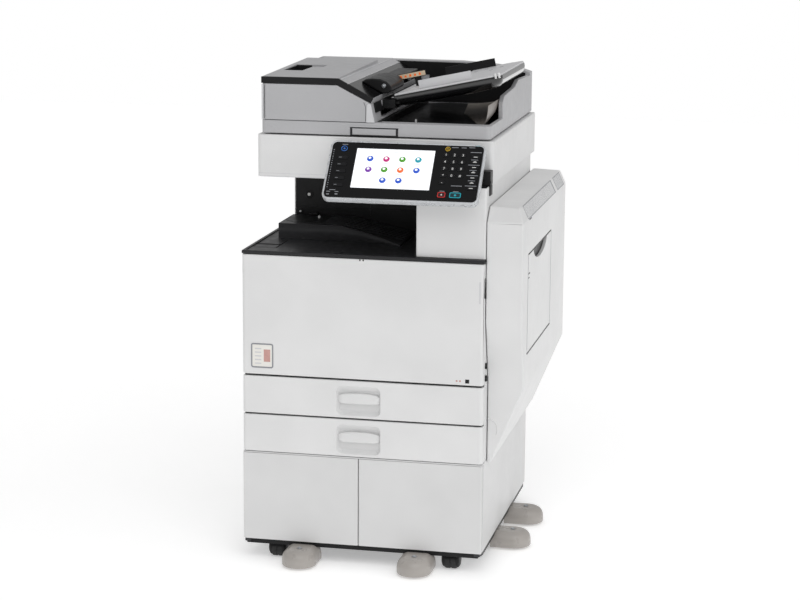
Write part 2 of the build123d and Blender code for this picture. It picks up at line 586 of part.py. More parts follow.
with BuildPart() as adf_feed_cover:
    front_profile([(-262, 1153.8), (-77.6, 1153.8), (5, 1112.5), (8, 1124), (-72, FEEDER_TOP),
                   (-262, FEEDER_TOP)], HOUSING_Y)
    fillet(adf_feed_cover.edges().filter_by(Axis.Y).group_by(Axis.X)[0], 6.4)
    slab((-246, -168), (212, 341), (1160, 1168), CUT)
    for y in (208, 340):
        rod((LEVER_PIN[0], y, LEVER_PIN[1]), Y, 1.2 + RUN, 5, CUT)
    for y in COVER_LUGS_Y:
        slab((-264, -246), (y - 1, y + 13), (1153, 1168), CUT)
        rod((COVER_PIN[0], y - 3, COVER_PIN[1]), Y, 2, 18)
save(adf_feed_cover, "adf_feed_cover")

with BuildPart() as adf_lever:
    slab((-206, -172.5), (216, 337), (1161.8, 1166.6))
    rod((LEVER_PIN[0], 209, LEVER_PIN[1]), Y, 1.2, 135)
save(adf_lever, "adf_lever")

with BuildPart() as adf_feed_roller:
    rod((FEED_ROLLER[0], 77, FEED_ROLLER[1]), Y, 4, 568)
    for y in (230, 330, 430):
        rod((FEED_ROLLER[0], y, FEED_ROLLER[1]), Y, 13, 34)
save(adf_feed_roller, "adf_feed_roller")

TABLE_TOP = Plane(origin=(36, 0, 1124.2), x_dir=(cos(TABLE_SLOPE), 0, sin(TABLE_SLOPE)),
                  z_dir=(-sin(TABLE_SLOPE), 0, cos(TABLE_SLOPE)))
TABLE_LENGTH = 262.0
FENCE_X = (60.0, 190.0)          # along the table
FENCE_STEM_X = (121.0, 129.0)
FENCES_Y = (198.0, 532.0)
FENCE_TRAVEL = 85.0

with BuildPart() as adf_input_table:
    with BuildSketch(TABLE_TOP):
        with Locations((TABLE_LENGTH / 2, sum(TABLE_Y) / 2)):
            Rectangle(TABLE_LENGTH, TABLE_Y[1] - TABLE_Y[0])
    extrude(amount=-9)
    corners = adf_input_table.edges().filter_by(
        lambda edge: edge.length < 10 and edge.center().X > 290)
    fillet(corners, 26)
    with BuildSketch(TABLE_TOP):
        for low, high in ((FENCES_Y[0] - 6, FENCES_Y[0] + FENCE_TRAVEL + 6),
                          (FENCES_Y[1] - FENCE_TRAVEL - 6, FENCES_Y[1] + 6)):
            with Locations((sum(FENCE_STEM_X) / 2, (low + high) / 2)):
                Rectangle(9.2, high - low)
    extrude(amount=-10, mode=CUT)
    for ear, pin in (((TABLE_Y[0] + 2, TABLE_Y[0] + 10), TABLE_Y[0] - 8),
                     ((TABLE_Y[1] - 10, TABLE_Y[1] - 2), TABLE_Y[1] - 6)):
        slab((TABLE_PIN[0] - 5, TABLE_PIN[0] + 14), ear, (1101, 1117))
        rod((TABLE_PIN[0], pin, TABLE_PIN[1]), Y, 2.5, 14)
save(adf_input_table, "adf_input_table")


def fence(y):
    """A side fence that stands on the input table, with its stem through the slot."""
    with BuildPart() as piece:
        with BuildSketch(TABLE_TOP.offset(0.4)):
            with Locations((sum(FENCE_X) / 2, y)):
                Rectangle(FENCE_X[1] - FENCE_X[0], 3)
        extrude(amount=20)
        with BuildSketch(TABLE_TOP.offset(-11)):
            with Locations((sum(FENCE_STEM_X) / 2, y)):
                Rectangle(8, 8)
        extrude(amount=14)
    return piece


save(fence(FENCES_Y[0]), "adf_fence_front")
save(fence(FENCES_Y[1]), "adf_fence_rear")

# ---- Operation panel -------------------------------------------------------------------------
PANEL_W = 369.0
PANEL_H = 164.0
PANEL_T = 20.0
PANEL_TILT = radians(42.03)      # how far the panel leans back from upright
PANEL = Plane(origin=(100.5, -5, 966), x_dir=X, z_dir=(0, -cos(PANEL_TILT), sin(PANEL_TILT)))
PANEL_PIN = (60.0, 1000.0)       # tilt axis, (y, z)
PANEL_PIN_R = 3.0
KNUCKLES_X = ((30.0, 50.0), (190.0, 210.0))
SCREEN = (186.0, 110.0)
SCREEN_PLACE = (-26.7, 6.0)
FASCIA_T = 2.7
KEY_GAP = 0.4
KEY_TOP = 0.8                    # how far a key stands out of the panel
KEY_DEPTH = 6.5                  # how far it reaches behind the panel's front

NUMERIC_PLACES = [(93.5 + 20 * column, 50 - 19.2 * row) for row in range(4) for column in range(3)]
NUMERIC_PLACES += [(93.5, -26.8)]
SIDE_PLACES = [(163.5, 46.5 - 14.5 * row) for row in range(7)]
FUNCTION_PLACES = [(-150.5, 33.5 - 19.2 * row) for row in range(5)]
# key group: (places, width, height, corner radius)
KEYS = {
    "numeric_keys": (NUMERIC_PLACES, 14.0, 10.0, 4.0),
    "side_keys": (SIDE_PLACES, 20.0, 8.5, 2.0),
    "function_keys": (FUNCTION_PLACES, 24.0, 9.0, 3.0),
    "start_key": ([(129.5, -61.0)], 27.0, 15.0, 3.0),
    "stop_key": ([(97.3, -61.0)], 19.0, 15.0, 3.0),
    "home_key": ([(-150.5, 58.5)], 17.0, 17.0, 8.4),
    "reset_key": ([(95.5, 66.5)], 13.0, 13.0, 6.4),
}


def key_outlines(group, gap=0.0, mode=Mode.ADD):
    """The outlines of one group of keys, in the sketch being built."""
    places, width, height, corner = KEYS[group]
    with Locations(*places):
        RectangleRounded(width + 2 * gap, height + 2 * gap, corner, mode=mode)


with BuildPart() as panel_bracket:
    slab((22, 218), (69, 72), (988, 1006))
    for x in KNUCKLES_X:
        slab(x, (PANEL_PIN[0], 70), (995, 1005))
        rod((x[0], *PANEL_PIN), X, 6, x[1] - x[0])
        rod((x[0] - 1, *PANEL_PIN), X, PANEL_PIN_R + RUN, x[1] - x[0] + 2, CUT)
    slab((268, 297), (42, 72), (934, 966))
    slab((200, 268), (60, 72), (940, 960))
    slab((200, 218), (66, 72), (950, 1000))
save(panel_bracket, "panel_bracket")

with BuildPart() as panel_housing:
    with BuildSketch(PANEL.offset(-PANEL_T)):
        RectangleRounded(PANEL_W, PANEL_H, 15)
    extrude(amount=PANEL_T)
    fillet(panel_housing.faces().sort_by(Axis((0, 0, 0), PANEL.z_dir))[0].edges(), 6)
    with BuildSketch(PANEL):
        RectangleRounded(PANEL_W - 9, PANEL_H - 9, 11)
    extrude(amount=-3, mode=CUT)
    with BuildSketch(PANEL):
        RectangleRounded(PANEL_W - 20, PANEL_H - 14, 8)
    extrude(amount=-8.2, mode=CUT)
    for low, high in KNUCKLES_X:
        rod((low - 1, *PANEL_PIN), X, 7.5, high - low + 2, CUT)
    for ear, pin in (((51, 58), 39), ((182, 189), 187)):
        rod((ear[0], *PANEL_PIN), X, 6, ear[1] - ear[0])
        middle = ((ear[0] + ear[1]) / 2 - PANEL.origin.X, 68.8, -21)
        with Locations(PANEL * Location(middle)):
            Box(ear[1] - ear[0], 12, 9)
        rod((pin, *PANEL_PIN), X, PANEL_PIN_R, 14)
save(panel_housing, "panel_housing")

with BuildPart() as panel_fascia:
    with BuildSketch(PANEL.offset(-3)):
        RectangleRounded(PANEL_W - 10, PANEL_H - 10, 10.5)
        with Locations(SCREEN_PLACE):
            Rectangle(SCREEN[0] + 0.6, SCREEN[1] + 0.6, mode=CUT)
        for group in KEYS:
            key_outlines(group, KEY_GAP, CUT)
    extrude(amount=FASCIA_T)
save(panel_fascia, "panel_fascia")

with BuildPart() as screen:
    with BuildSketch(PANEL.offset(-6)):
        with Locations(SCREEN_PLACE):
            Rectangle(*SCREEN)
    extrude(amount=5.4)
save(screen, "screen")

for group in KEYS:
    with BuildPart() as keys:
        with BuildSketch(PANEL.offset(-KEY_DEPTH)):
            key_outlines(group)
        extrude(amount=KEY_DEPTH + KEY_TOP)
    save(keys, group)
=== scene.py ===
import json
from math import cos, pi, radians, sin, sqrt

import bmesh
import bpy
from bpy.props import FloatProperty, FloatVectorProperty, IntProperty, PointerProperty
from bpy.types import Operator, Panel, PropertyGroup
from mathutils import Euler, Matrix, Vector


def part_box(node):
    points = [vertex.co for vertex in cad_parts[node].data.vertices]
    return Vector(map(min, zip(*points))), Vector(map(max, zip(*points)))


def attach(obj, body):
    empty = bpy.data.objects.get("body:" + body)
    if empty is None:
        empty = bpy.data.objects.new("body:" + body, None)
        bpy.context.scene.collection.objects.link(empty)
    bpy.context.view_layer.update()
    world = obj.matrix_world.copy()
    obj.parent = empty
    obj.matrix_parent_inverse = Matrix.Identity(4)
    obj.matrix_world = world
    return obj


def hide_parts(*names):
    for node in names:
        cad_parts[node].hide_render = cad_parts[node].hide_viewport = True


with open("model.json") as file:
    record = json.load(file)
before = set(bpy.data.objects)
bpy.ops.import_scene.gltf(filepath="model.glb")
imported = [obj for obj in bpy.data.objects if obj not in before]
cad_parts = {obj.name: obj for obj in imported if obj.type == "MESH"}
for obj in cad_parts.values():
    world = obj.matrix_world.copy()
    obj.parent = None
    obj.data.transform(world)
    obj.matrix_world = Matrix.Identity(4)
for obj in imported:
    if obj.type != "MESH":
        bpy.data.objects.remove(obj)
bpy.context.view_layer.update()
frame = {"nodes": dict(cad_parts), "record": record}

bl_info = {
    "name": "Office copier finish",
    "version": (1, 0, 0),
    "blender": (4, 5, 0),
    "location": "3D View > Sidebar > Copier",
    "description": "Builds the visible pieces, finishes and stage of a floor-standing copier",
    "category": "Object",
}

BODY_OF = {
    node: body
    for body, members in frame["record"]["behaviour"]["bodies"].items()
    for node in members
}
MM = 0.001


def middle_of_front():
    """The point on the floor under the middle of the front door's face."""
    low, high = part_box("front_door")
    return Vector(((low.x + high.x) / 2, low.y, 0))


# Pieces are drawn in millimetres from that point: X right, Y to the rear, Z up.
DATUM = Matrix.Translation(middle_of_front()) @ Matrix.Scale(MM, 4)
# The panel's pieces are drawn on its fascia: X right, Y up the slope, Z out of the glass.
PANEL_LEAN = radians(42.03)
PANEL_CENTRE = (100.5, -5, 966)
PANEL_FACE = (DATUM @ Matrix.Translation(PANEL_CENTRE)
              @ Euler((pi / 2 - PANEL_LEAN, 0, 0)).to_matrix().to_4x4())


# ---- Finishes ----------------------------------------------------------------------------------
def linear(code):
    """An sRGB hex colour as the linear numbers that Blender works in."""
    parts = [int(code[i:i + 2], 16) / 255 for i in (1, 3, 5)]
    return tuple(p / 12.92 if p <= 0.04045 else ((p + 0.055) / 1.055) ** 2.4 for p in parts)


def add_node(tree, kind, links=None, inputs=None, **settings):
    """Adds a node with its settings, its fixed inputs and the sockets that feed it."""
    node = tree.nodes.new(kind)
    for name, value in settings.items():
        setattr(node, name, value)
    for name, value in (inputs or {}).items():
        node.inputs[name].default_value = value
    for name, source in (links or {}).items():
        tree.links.new(source, node.inputs[name])
    return node


def pattern(tree, size_mm, detail=3.0, stretch=(1, 1, 1)):
    """Noise with features of about size_mm, in the piece's own place, stretched along an axis."""
    place = add_node(tree, "ShaderNodeTexCoord").outputs["Object"]
    place = add_node(tree, "ShaderNodeMapping", {"Vector": place},
                     {"Scale": stretch}).outputs["Vector"]
    return add_node(tree, "ShaderNodeTexNoise", {"Vector": place},
                    {"Scale": 1 / (size_mm * MM), "Detail": detail}).outputs["Fac"]


def span(tree, source, low, high, start=0.3, end=0.7):
    """Stretches a pattern's middle values to run from low to high."""
    return add_node(tree, "ShaderNodeMapRange", {"Value": source},
                    {"From Min": start, "From Max": end, "To Min": low, "To Max": high}
                    ).outputs["Result"]


def tinted(tree, source, colour, swing):
    """A colour that drifts a little darker and lighter with a pattern."""
    dark = tuple(c * (1 - swing) for c in colour) + (1,)
    light = tuple(min(1, c * (1 + swing)) for c in colour) + (1,)
    mix = add_node(tree, "ShaderNodeMix", data_type="RGBA")
    tree.links.new(source, mix.inputs["Factor"])
    mix.inputs[6].default_value = dark
    mix.inputs[7].default_value = light
    return mix.outputs[2]


def finish(slot, colour, roughness, grain_mm=2.5, relief=0.05, swing=0.03, drift_mm=140,
           spread=0.05, stretch=(1, 1, 1), **fixed):
    """A surface with colour drift, uneven gloss and a fine relief, on one slot's material."""
    material = bpy.data.materials.get(slot) or bpy.data.materials.new(slot)
    material.use_nodes = True
    tree = material.node_tree
    tree.nodes.clear()
    shader = add_node(tree, "ShaderNodeBsdfPrincipled")
    add_node(tree, "ShaderNodeOutputMaterial", {"Surface": shader.outputs["BSDF"]})
    drift = pattern(tree, drift_mm, 2.0, stretch)
    grain = pattern(tree, grain_mm, 3.0, stretch)
    gloss = span(tree, pattern(tree, 9 * grain_mm, 2.0, stretch), roughness - spread,
                 roughness + spread)
    bump = add_node(tree, "ShaderNodeBump", {"Height": grain},
                    {"Strength": relief, "Distance": grain_mm * MM * 0.25})
    tree.links.new(tinted(tree, span(tree, drift, 0, 1), colour, swing),
                   shader.inputs["Base Color"])
    tree.links.new(gloss, shader.inputs["Roughness"])
    tree.links.new(bump.outputs["Normal"], shader.inputs["Normal"])
    for name, value in fixed.items():
        shader.inputs[name.replace("_", " ")].default_value = value
    material.diffuse_color = (*colour, 1)
    return material


def glow(slot, colour, strength):
    """A lit film behind glass: flat colour with a faint unevenness, and its own light."""
    material = finish(slot, colour, 0.12, 3, 0.0, 0.01)
    shader = material.node_tree.nodes["Principled BSDF"]
    shader.inputs["Emission Color"].default_value = (*colour, 1)
    shader.inputs["Emission Strength"].default_value = strength
    return material


def make_finishes(colours):
    """Every finish of the copier, by the record's slot or by the name of a printed colour."""
    # Moulded polystyrene with a fine eroded texture: an even satin white. The real grain is
    # 0.1 mm, drawn as 2.5 mm so that it shows.
    finish("white_plastic", tuple(colours.body), 0.42)
    # The same moulding in grey, on the document feeder.
    finish("feeder_grey", tuple(colours.feeder), 0.40)
    finish("light_grey", tuple(colours.trim), 0.42)
    # Moulded ABS, eroded texture: deep matt black that catches soft light on its edges.
    finish("black_plastic", tuple(colours.black), 0.38, 2.0, 0.08, 0.12, Specular_IOR_Level=0.2)
    finish("dark_grey", tuple(colours.tray), 0.36, 2.0, 0.08, 0.08,
           Specular_IOR_Level=0.28)
    # Semi-gloss moulding of the feet, a warm grey.
    finish("foot_grey", tuple(colours.feet), 0.30, 3.0, 0.03)
    # Polished acrylic over black print: a mirror-like black.
    finish("gloss_black", linear("#050507"), 0.14, 30, 0.01, 0.1, spread=0.03,
           Specular_IOR_Level=0.3)
    # Metallic paint on the panel's rim: satin silver with a fine sparkle.
    finish("bezel_silver", linear("#c9cbce"), 0.30, 1.2, 0.03, 0.04, Metallic=0.55)
    # Black silicone keys, barely lighter than the panel around them.
    finish("key_grey", linear("#1a1a1c"), 0.45, 1.5, 0.06, Specular_IOR_Level=0.15)
    finish("key_start", linear("#0b2f36"), 0.25, 2.0, 0.03)
    finish("key_stop", linear("#33090a"), 0.25, 2.0, 0.03)
    # Ground steel shafts: fine turning marks across the length.
    finish("steel", linear("#b9bcc0"), 0.28, 1.0, 0.05, 0.06, stretch=(1, 12, 1),
           Metallic=1.0)
    # Powder-coated sheet: an orange-peel relief a few millimetres wide.
    finish("painted_steel", linear("#2c2d30"), 0.48, 3.0, 0.12, 0.08)
    finish("cabinet_white", tuple(colours.cabinet), 0.44, 3.0, 0.05)
    finish("rubber_black", linear("#29292b"), 0.75, 1.5, 0.15, 0.15)
    finish("tyre_black", linear("#1c1c1d"), 0.62, 2.0, 0.12, 0.12)
    # Photoconductor coating on aluminium: a smooth blue-green with a wet gloss.
    finish("drum_blue", linear("#23788a"), 0.12, 12, 0.01, 0.04, Metallic=0.4,
           Coat_Weight=0.6)
    finish("toner_black", linear("#202123"), 0.40, 2.0, 0.06)
    finish("fuser_coat", linear("#7a4024"), 0.25, 3.0, 0.03)
    # Foam-backed film that presses the original down: matt white, slightly quilted.
    finish("foam_white", linear("#eceae4"), 0.55, 6.0, 0.12, 0.02)
    finish("zinc", linear("#a9acaf"), 0.42, 1.5, 0.12, 0.10, Metallic=0.9)
    finish("printed_white", linear("#e8e8e6"), 0.5, 1.0, 0.02)
    finish("printed_grey", linear("#8b8d92"), 0.5, 1.0, 0.02)
    finish("print_cream", linear("#e2cdb0"), 0.5, 4.0, 0.02, 0.10, drift_mm=12)
    finish("print_rose", linear("#c99b93"), 0.5, 4.0, 0.02, 0.10, drift_mm=12)
    # Gloss moulding under the input table: it mirrors the room in bright streaks.
    finish("wet_black", linear("#0b0b0c"), 0.10, 40, 0.02, 0.1, spread=0.04,
           Coat_Weight=0.8)
    finish("warm_grey", linear("#8d8781"), 0.40, 4.0, 0.03, 0.05)
    finish("ring_blue", linear("#2f6fc4"), 0.35, 1.0, 0.02)
    finish("ring_yellow", linear("#e0b62c"), 0.35, 1.0, 0.02)
    finish("ring_cyan", linear("#1fb3c4"), 0.35, 1.0, 0.02)
    finish("ring_red", linear("#cf2a2a"), 0.35, 1.0, 0.02)
    glow("screen_glass", linear("#f4f6fa"), 0.55)
    glow("icon_blue", linear("#2a56c6"), 0.25)
    glow("icon_magenta", linear("#c02c78"), 0.25)
    glow("icon_green", linear("#4f9a26"), 0.25)
    glow("icon_teal", linear("#1f9bab"), 0.25)
    glow("icon_purple", linear("#7a3aa6"), 0.25)
    glow("icon_orange", linear("#ec6a24"), 0.25)
    glow("icon_grey", linear("#c4c9d2"), 0.35)
    # Float glass with a faint green cast: clear, with a sharp reflection.
    glass = finish("clear_glass", linear("#e6f2ee"), 0.03, 40, 0.0, 0.01, spread=0.01,
                   Transmission_Weight=0.9)
    glass.node_tree.nodes["Principled BSDF"].inputs["IOR"].default_value = 1.52


# ---- Mesh tools --------------------------------------------------------------------------------
def soften(mesh):
    """Smooth shading with crisp creases."""
    mesh.shade_smooth()
    mesh.set_sharp_from_angle(angle=radians(38))


def add_piece(name, mesh, slot, body, replaced=(), material=None):
    """Puts a finished mesh in the scene as one piece that rides on a body."""
    mesh.materials.clear()
    mesh.materials.append(bpy.data.materials[material or slot])
    soften(mesh)
    piece = bpy.data.objects.new(name, mesh)
    bpy.context.scene.collection.objects.link(piece)
    flat = piece.modifiers.new("flat faces stay flat", "WEIGHTED_NORMAL")
    flat.keep_sharp = True
    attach(piece, body)
    if replaced:
        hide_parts(*replaced)
    return piece


def to_mesh(bm, place=DATUM):
    """Ends a mesh drawn in millimetres: closes it up, turns its faces out, puts it in place."""
    bmesh.ops.remove_doubles(bm, verts=bm.verts, dist=1e-4)
    bmesh.ops.recalc_face_normals(bm, faces=bm.faces)
    bm.transform(place)
    mesh = bpy.data.meshes.new("piece")
    bm.to_mesh(mesh)
    bm.free()
    return mesh


def round_edges(bm, radius, segments=3, angle=32, faces=None):
    """Rounds the outward edges that are sharper than angle degrees."""
    edges = [
        e for e in (bm.edges if faces is None else dict.fromkeys(e for f in faces for e in f.edges))
        if e.is_manifold and e.calc_face_angle_signed(0) > radians(angle)
    ]
    bmesh.ops.bevel(bm, geom=edges, offset=radius, segments=segments, profile=0.5,
                    affect="EDGES", clamp_overlap=False)


def casing(node, slot, radius=None):
    """A CAD node's shape with its outward edges rounded as moulded or folded parts are."""
    bm = bmesh.new()
    bm.from_mesh(frame["nodes"][node].data)
    bmesh.ops.remove_doubles(bm, verts=bm.verts, dist=2e-6)
    bmesh.ops.dissolve_limit(bm, angle_limit=radians(0.5), verts=bm.verts, edges=bm.edges)
    edge_radius = bpy.context.scene.copier_sizes.edge_radius if radius is None else radius * MM
    round_edges(bm, edge_radius)
    mesh = bpy.data.meshes.new(node)
    bm.to_mesh(mesh)
    bm.free()
    return add_piece(node + "_casing", mesh, slot, BODY_OF[node], (node,))


def carved(mesh, cutter):
    """A mesh with another one cut out of it."""
    whole = bpy.data.objects.new("whole", mesh)
    tool = bpy.data.objects.new("tool", cutter)
    for item in (whole, tool):
        bpy.context.scene.collection.objects.link(item)
    cut = whole.modifiers.new("cut", "BOOLEAN")
    cut.operation, cut.solver, cut.object = "DIFFERENCE", "EXACT", tool
    result = bpy.data.meshes.new_from_object(
        whole.evaluated_get(bpy.context.evaluated_depsgraph_get()))
    for item in (whole, tool):
        bpy.data.objects.remove(item)
    return result


def dress(slot, node):
    """Gives a CAD node whose shape stays its finish."""
    mesh = frame["nodes"][node].data
    mesh.materials.clear()
    mesh.materials.append(bpy.data.materials[slot])


def slab(bm, x, y, z, radius=0.8, segments=2):
    """A box between two limits on each axis, with rounded edges."""
    made = bmesh.ops.create_cube(bm, size=1)["verts"]
    size = Vector((x[1] - x[0], y[1] - y[0], z[1] - z[0]))
    centre = Vector((x[0] + x[1], y[0] + y[1], z[0] + z[1])) / 2
    for v in made:
        v.co = Vector([a * b for a, b in zip(v.co, size)]) + centre
    edges = list(dict.fromkeys(e for v in made for e in v.link_edges))
    bmesh.ops.bevel(bm, geom=edges, offset=min(radius, min(size) * 0.45), segments=segments,
                    profile=0.5, affect="EDGES")


def prism(bm, outline, step, radius=0.8, segments=2):
    """A flat outline of 3-D points, carried along a step, with rounded edges."""
    step = Vector(step)
    base = [bm.verts.new(p) for p in outline]
    top = [bm.verts.new(Vector(p) + step) for p in outline]
    count = len(base)
    faces = [bm.faces.new(base), bm.faces.new(list(reversed(top)))]
    faces += [bm.faces.new((base[i], top[i], top[(i + 1) % count], base[(i + 1) % count]))
              for i in range(count)]
    bmesh.ops.recalc_face_normals(bm, faces=faces)
    if radius:
        round_edges(bm, radius, segments, 25, faces)


def turned(bm, start, along, profile, sides=32):
    """A turned shape: (distance, radius) pairs round an axis from a start point."""
    start, along = Vector(start), Vector(along).normalized()
    side = along.orthogonal().normalized()
    other = along.cross(side)
    rings = []
    for distance, radius in profile:
        centre = start + along * distance
        if radius < 1e-6:
            rings.append([bm.verts.new(centre)])
            continue
        rings.append([
            bm.verts.new(centre + (side * cos(a) + other * sin(a)) * radius)
            for a in (2 * pi * i / sides for i in range(sides))
        ])
    for one, two in zip(rings, rings[1:]):
        for i in range(sides):
            j = (i + 1) % sides
            corners = [one[i % len(one)], one[j % len(one)], two[j % len(two)],
                       two[i % len(two)]]
            bm.faces.new(list(dict.fromkeys(corners)))
    for ring in (rings[0], rings[-1]):
        if len(ring) > 1:
            bm.faces.new(ring)


def rounded_outline(x, y, corner, steps=6):
    """The (x, y) points of a rectangle with rounded corners, anticlockwise."""
    points = []
    for cx, cy, turn in ((x[1], y[1], 0), (x[0], y[1], 1), (x[0], y[0], 2), (x[1], y[0], 3)):
        cx -= corner * (1 if turn in (0, 3) else -1)
        cy -= corner * (1 if turn in (0, 1) else -1)
        points += [(cx + corner * cos(a), cy + corner * sin(a))
                   for a in (pi / 2 * (turn + i / steps) for i in range(steps + 1))]
    return points


def pad(bm, x, y, z, corner, radius=0.4):
    """A raised plate with rounded corners, standing on a plane between two heights."""
    prism(bm, [(px, py, z[0]) for px, py in rounded_outline(x, y, corner)],
          (0, 0, z[1] - z[0]), radius)


def lofted(bm, rows, closed=False):
    """A skin over rows of points, each row as long as the next."""
    rings = [[bm.verts.new(p) for p in row] for row in rows]
    count = len(rings[0])
    for one, two in zip(rings, rings[1:]):
        for i in range(count if closed else count - 1):
            j = (i + 1) % count
            bm.faces.new((one[i], one[j], two[j], two[i]))
    return rings


def circle(centre, radius, sides):
    """A level circle of points round a centre, ending where it starts."""
    return [Vector(centre) + Vector((radius * cos(a), radius * sin(a), 0))
            for a in (2 * pi * i / sides for i in range(sides + 1))]


def build(name, slot, body, *parts, place=DATUM, **settings):
    """Makes one piece of parts, each given as a drawing tool and what that tool needs."""
    bm = bmesh.new()
    for tool, *values in parts:
        tool(bm, *values)
    return add_piece(name, to_mesh(bm, place), slot, body, **settings)


# ---- Repeats, grown by Geometry Nodes ------------------------------------------------------------
def new_tree(name, sockets):
    """A node tree that takes a mesh and named values, and gives back geometry."""
    tree = bpy.data.node_groups.new(name, "GeometryNodeTree")
    tree.interface.new_socket("Geometry", in_out="INPUT", socket_type="NodeSocketGeometry")
    for label, kind in sockets:
        tree.interface.new_socket(label, in_out="INPUT", socket_type="NodeSocket" + kind)
    tree.interface.new_socket("Geometry", in_out="OUTPUT", socket_type="NodeSocketGeometry")
    return tree, add_node(tree, "NodeGroupInput").outputs


def end_tree(tree, given, geometry):
    """Ends a tree: instances made real, with the finish that was asked for."""
    real = add_node(tree, "GeometryNodeRealizeInstances", {"Geometry": geometry})
    painted = add_node(tree, "GeometryNodeSetMaterial",
                       {"Geometry": real.outputs["Geometry"], "Material": given["Material"]})
    add_node(tree, "NodeGroupOutput", {"Geometry": painted.outputs["Geometry"]})
    return tree


def slat_tree():
    """A row of equal bars with rounded edges, each Step away from the last."""
    tree, given = new_tree("Slats", (
        ("Count", "Int"), ("First", "Vector"), ("Step", "Vector"), ("Reach", "Vector"),
        ("Width", "Float"), ("Height", "Float"), ("Material", "Material")))
    row = add_node(tree, "GeometryNodeMeshLine",
                   {"Count": given["Count"], "Start Location": given["First"],
                    "Offset": given["Step"]}, mode="OFFSET")
    bar = add_node(tree, "GeometryNodeCurvePrimitiveLine", {"End": given["Reach"]})
    upright = add_node(tree, "GeometryNodeSetCurveNormal", {"Curve": bar.outputs["Curve"]},
                       mode="Z_UP")
    section = add_node(tree, "GeometryNodeCurvePrimitiveQuadrilateral",
                       {"Width": given["Width"], "Height": given["Height"]})
    corner = add_node(tree, "ShaderNodeMath", {0: given["Width"]}, {1: 0.3},
                      operation="MULTIPLY")
    rounded = add_node(tree, "GeometryNodeFilletCurve",
                       {"Curve": section.outputs["Curve"], "Radius": corner.outputs[0]},
                       {"Limit Radius": True, "Count": 2}, mode="POLY")
    solid = add_node(tree, "GeometryNodeCurveToMesh",
                     {"Curve": upright.outputs["Curve"],
                      "Profile Curve": rounded.outputs["Curve"]}, {"Fill Caps": True})
    placed = add_node(tree, "GeometryNodeInstanceOnPoints",
                      {"Points": row.outputs["Mesh"], "Instance": solid.outputs["Mesh"]})
    return end_tree(tree, given, placed.outputs["Instances"])


def bead_tree():
    """A round bead along every edge path of the mesh it is given."""
    tree, given = new_tree("Beads", (
        ("Radius", "Float"), ("Sides", "Int"), ("Material", "Material")))
    path = add_node(tree, "GeometryNodeMeshToCurve", {"Mesh": given["Geometry"]})
    ring = add_node(tree, "GeometryNodeCurvePrimitiveCircle",
                    {"Radius": given["Radius"], "Resolution": given["Sides"]})
    solid = add_node(tree, "GeometryNodeCurveToMesh",
                     {"Curve": path.outputs["Curve"], "Profile Curve": ring.outputs["Curve"]},
                     {"Fill Caps": True})
    return end_tree(tree, given, solid.outputs["Mesh"])


def stud_tree():
    """One small part on every point of the mesh it is given, facing the way the point says."""
    tree, given = new_tree("Studs", (
        ("Part", "Object"), ("Size", "Float"), ("Material", "Material")))
    part = add_node(tree, "GeometryNodeObjectInfo", {"Object": given["Part"]})
    facing = add_node(tree, "GeometryNodeInputNamedAttribute", None, {"Name": "facing"},
                      data_type="FLOAT_VECTOR")
    turn = add_node(tree, "FunctionNodeAlignRotationToVector",
                    {"Vector": facing.outputs["Attribute"]}, axis="Z")
    placed = add_node(tree, "GeometryNodeInstanceOnPoints",
                      {"Points": given["Geometry"], "Instance": part.outputs["Geometry"],
                       "Rotation": turn.outputs["Rotation"], "Scale": given["Size"]})
    return end_tree(tree, given, placed.outputs["Instances"])


def grown(tree, base, values):
    """The plain mesh that a tree makes of a base mesh and named values."""
    host = bpy.data.objects.new("host", base)
    modifier = host.modifiers.new("grow", "NODES")
    modifier.node_group = tree
    for item in tree.interface.items_tree:
        if item.item_type == "SOCKET" and item.in_out == "INPUT" and item.name in values:
            modifier[item.identifier] = values[item.name]
    bpy.context.scene.collection.objects.link(host)
    made = bpy.data.meshes.new_from_object(
        host.evaluated_get(bpy.context.evaluated_depsgraph_get()))
    host.modifiers.remove(modifier)
    bpy.data.objects.remove(host)
    return made


def slats(name, slot, body, count, first, step, reach, width, height, material=None):
    """Places a row of slats, in millimetres from the datum."""
    turn = DATUM.to_3x3()
    made = grown(slat_tree(), bpy.data.meshes.new("none"), {
        "Count": count, "First": DATUM @ Vector(first), "Step": turn @ Vector(step),
        "Reach": turn @ Vector(reach), "Width": width * MM, "Height": height * MM,
        "Material": bpy.data.materials[material or slot]})
    return add_piece(name, made, slot, body, material=material)


def beads(name, slot, body, paths, radius, place=DATUM, sides=8, material=None):
    """Places a round bead along each path; a path that ends where it starts is a ring."""
    bm = bmesh.new()
    for path in paths:
        ring = (Vector(path[0]) - Vector(path[-1])).length < 1e-4
        points = [bm.verts.new(place @ Vector(p)) for p in (path[:-1] if ring else path)]
        for one, two in zip(points, points[1:] + points[:1] * ring):
            bm.edges.new((one, two))
    mesh = bpy.data.meshes.new("paths")
    bm.to_mesh(mesh)
    bm.free()
    made = grown(bead_tree(), mesh, {"Radius": radius * MM, "Sides": sides,
                                     "Material": bpy.data.materials[material or slot]})
    return add_piece(name, made, slot, body, material=material)


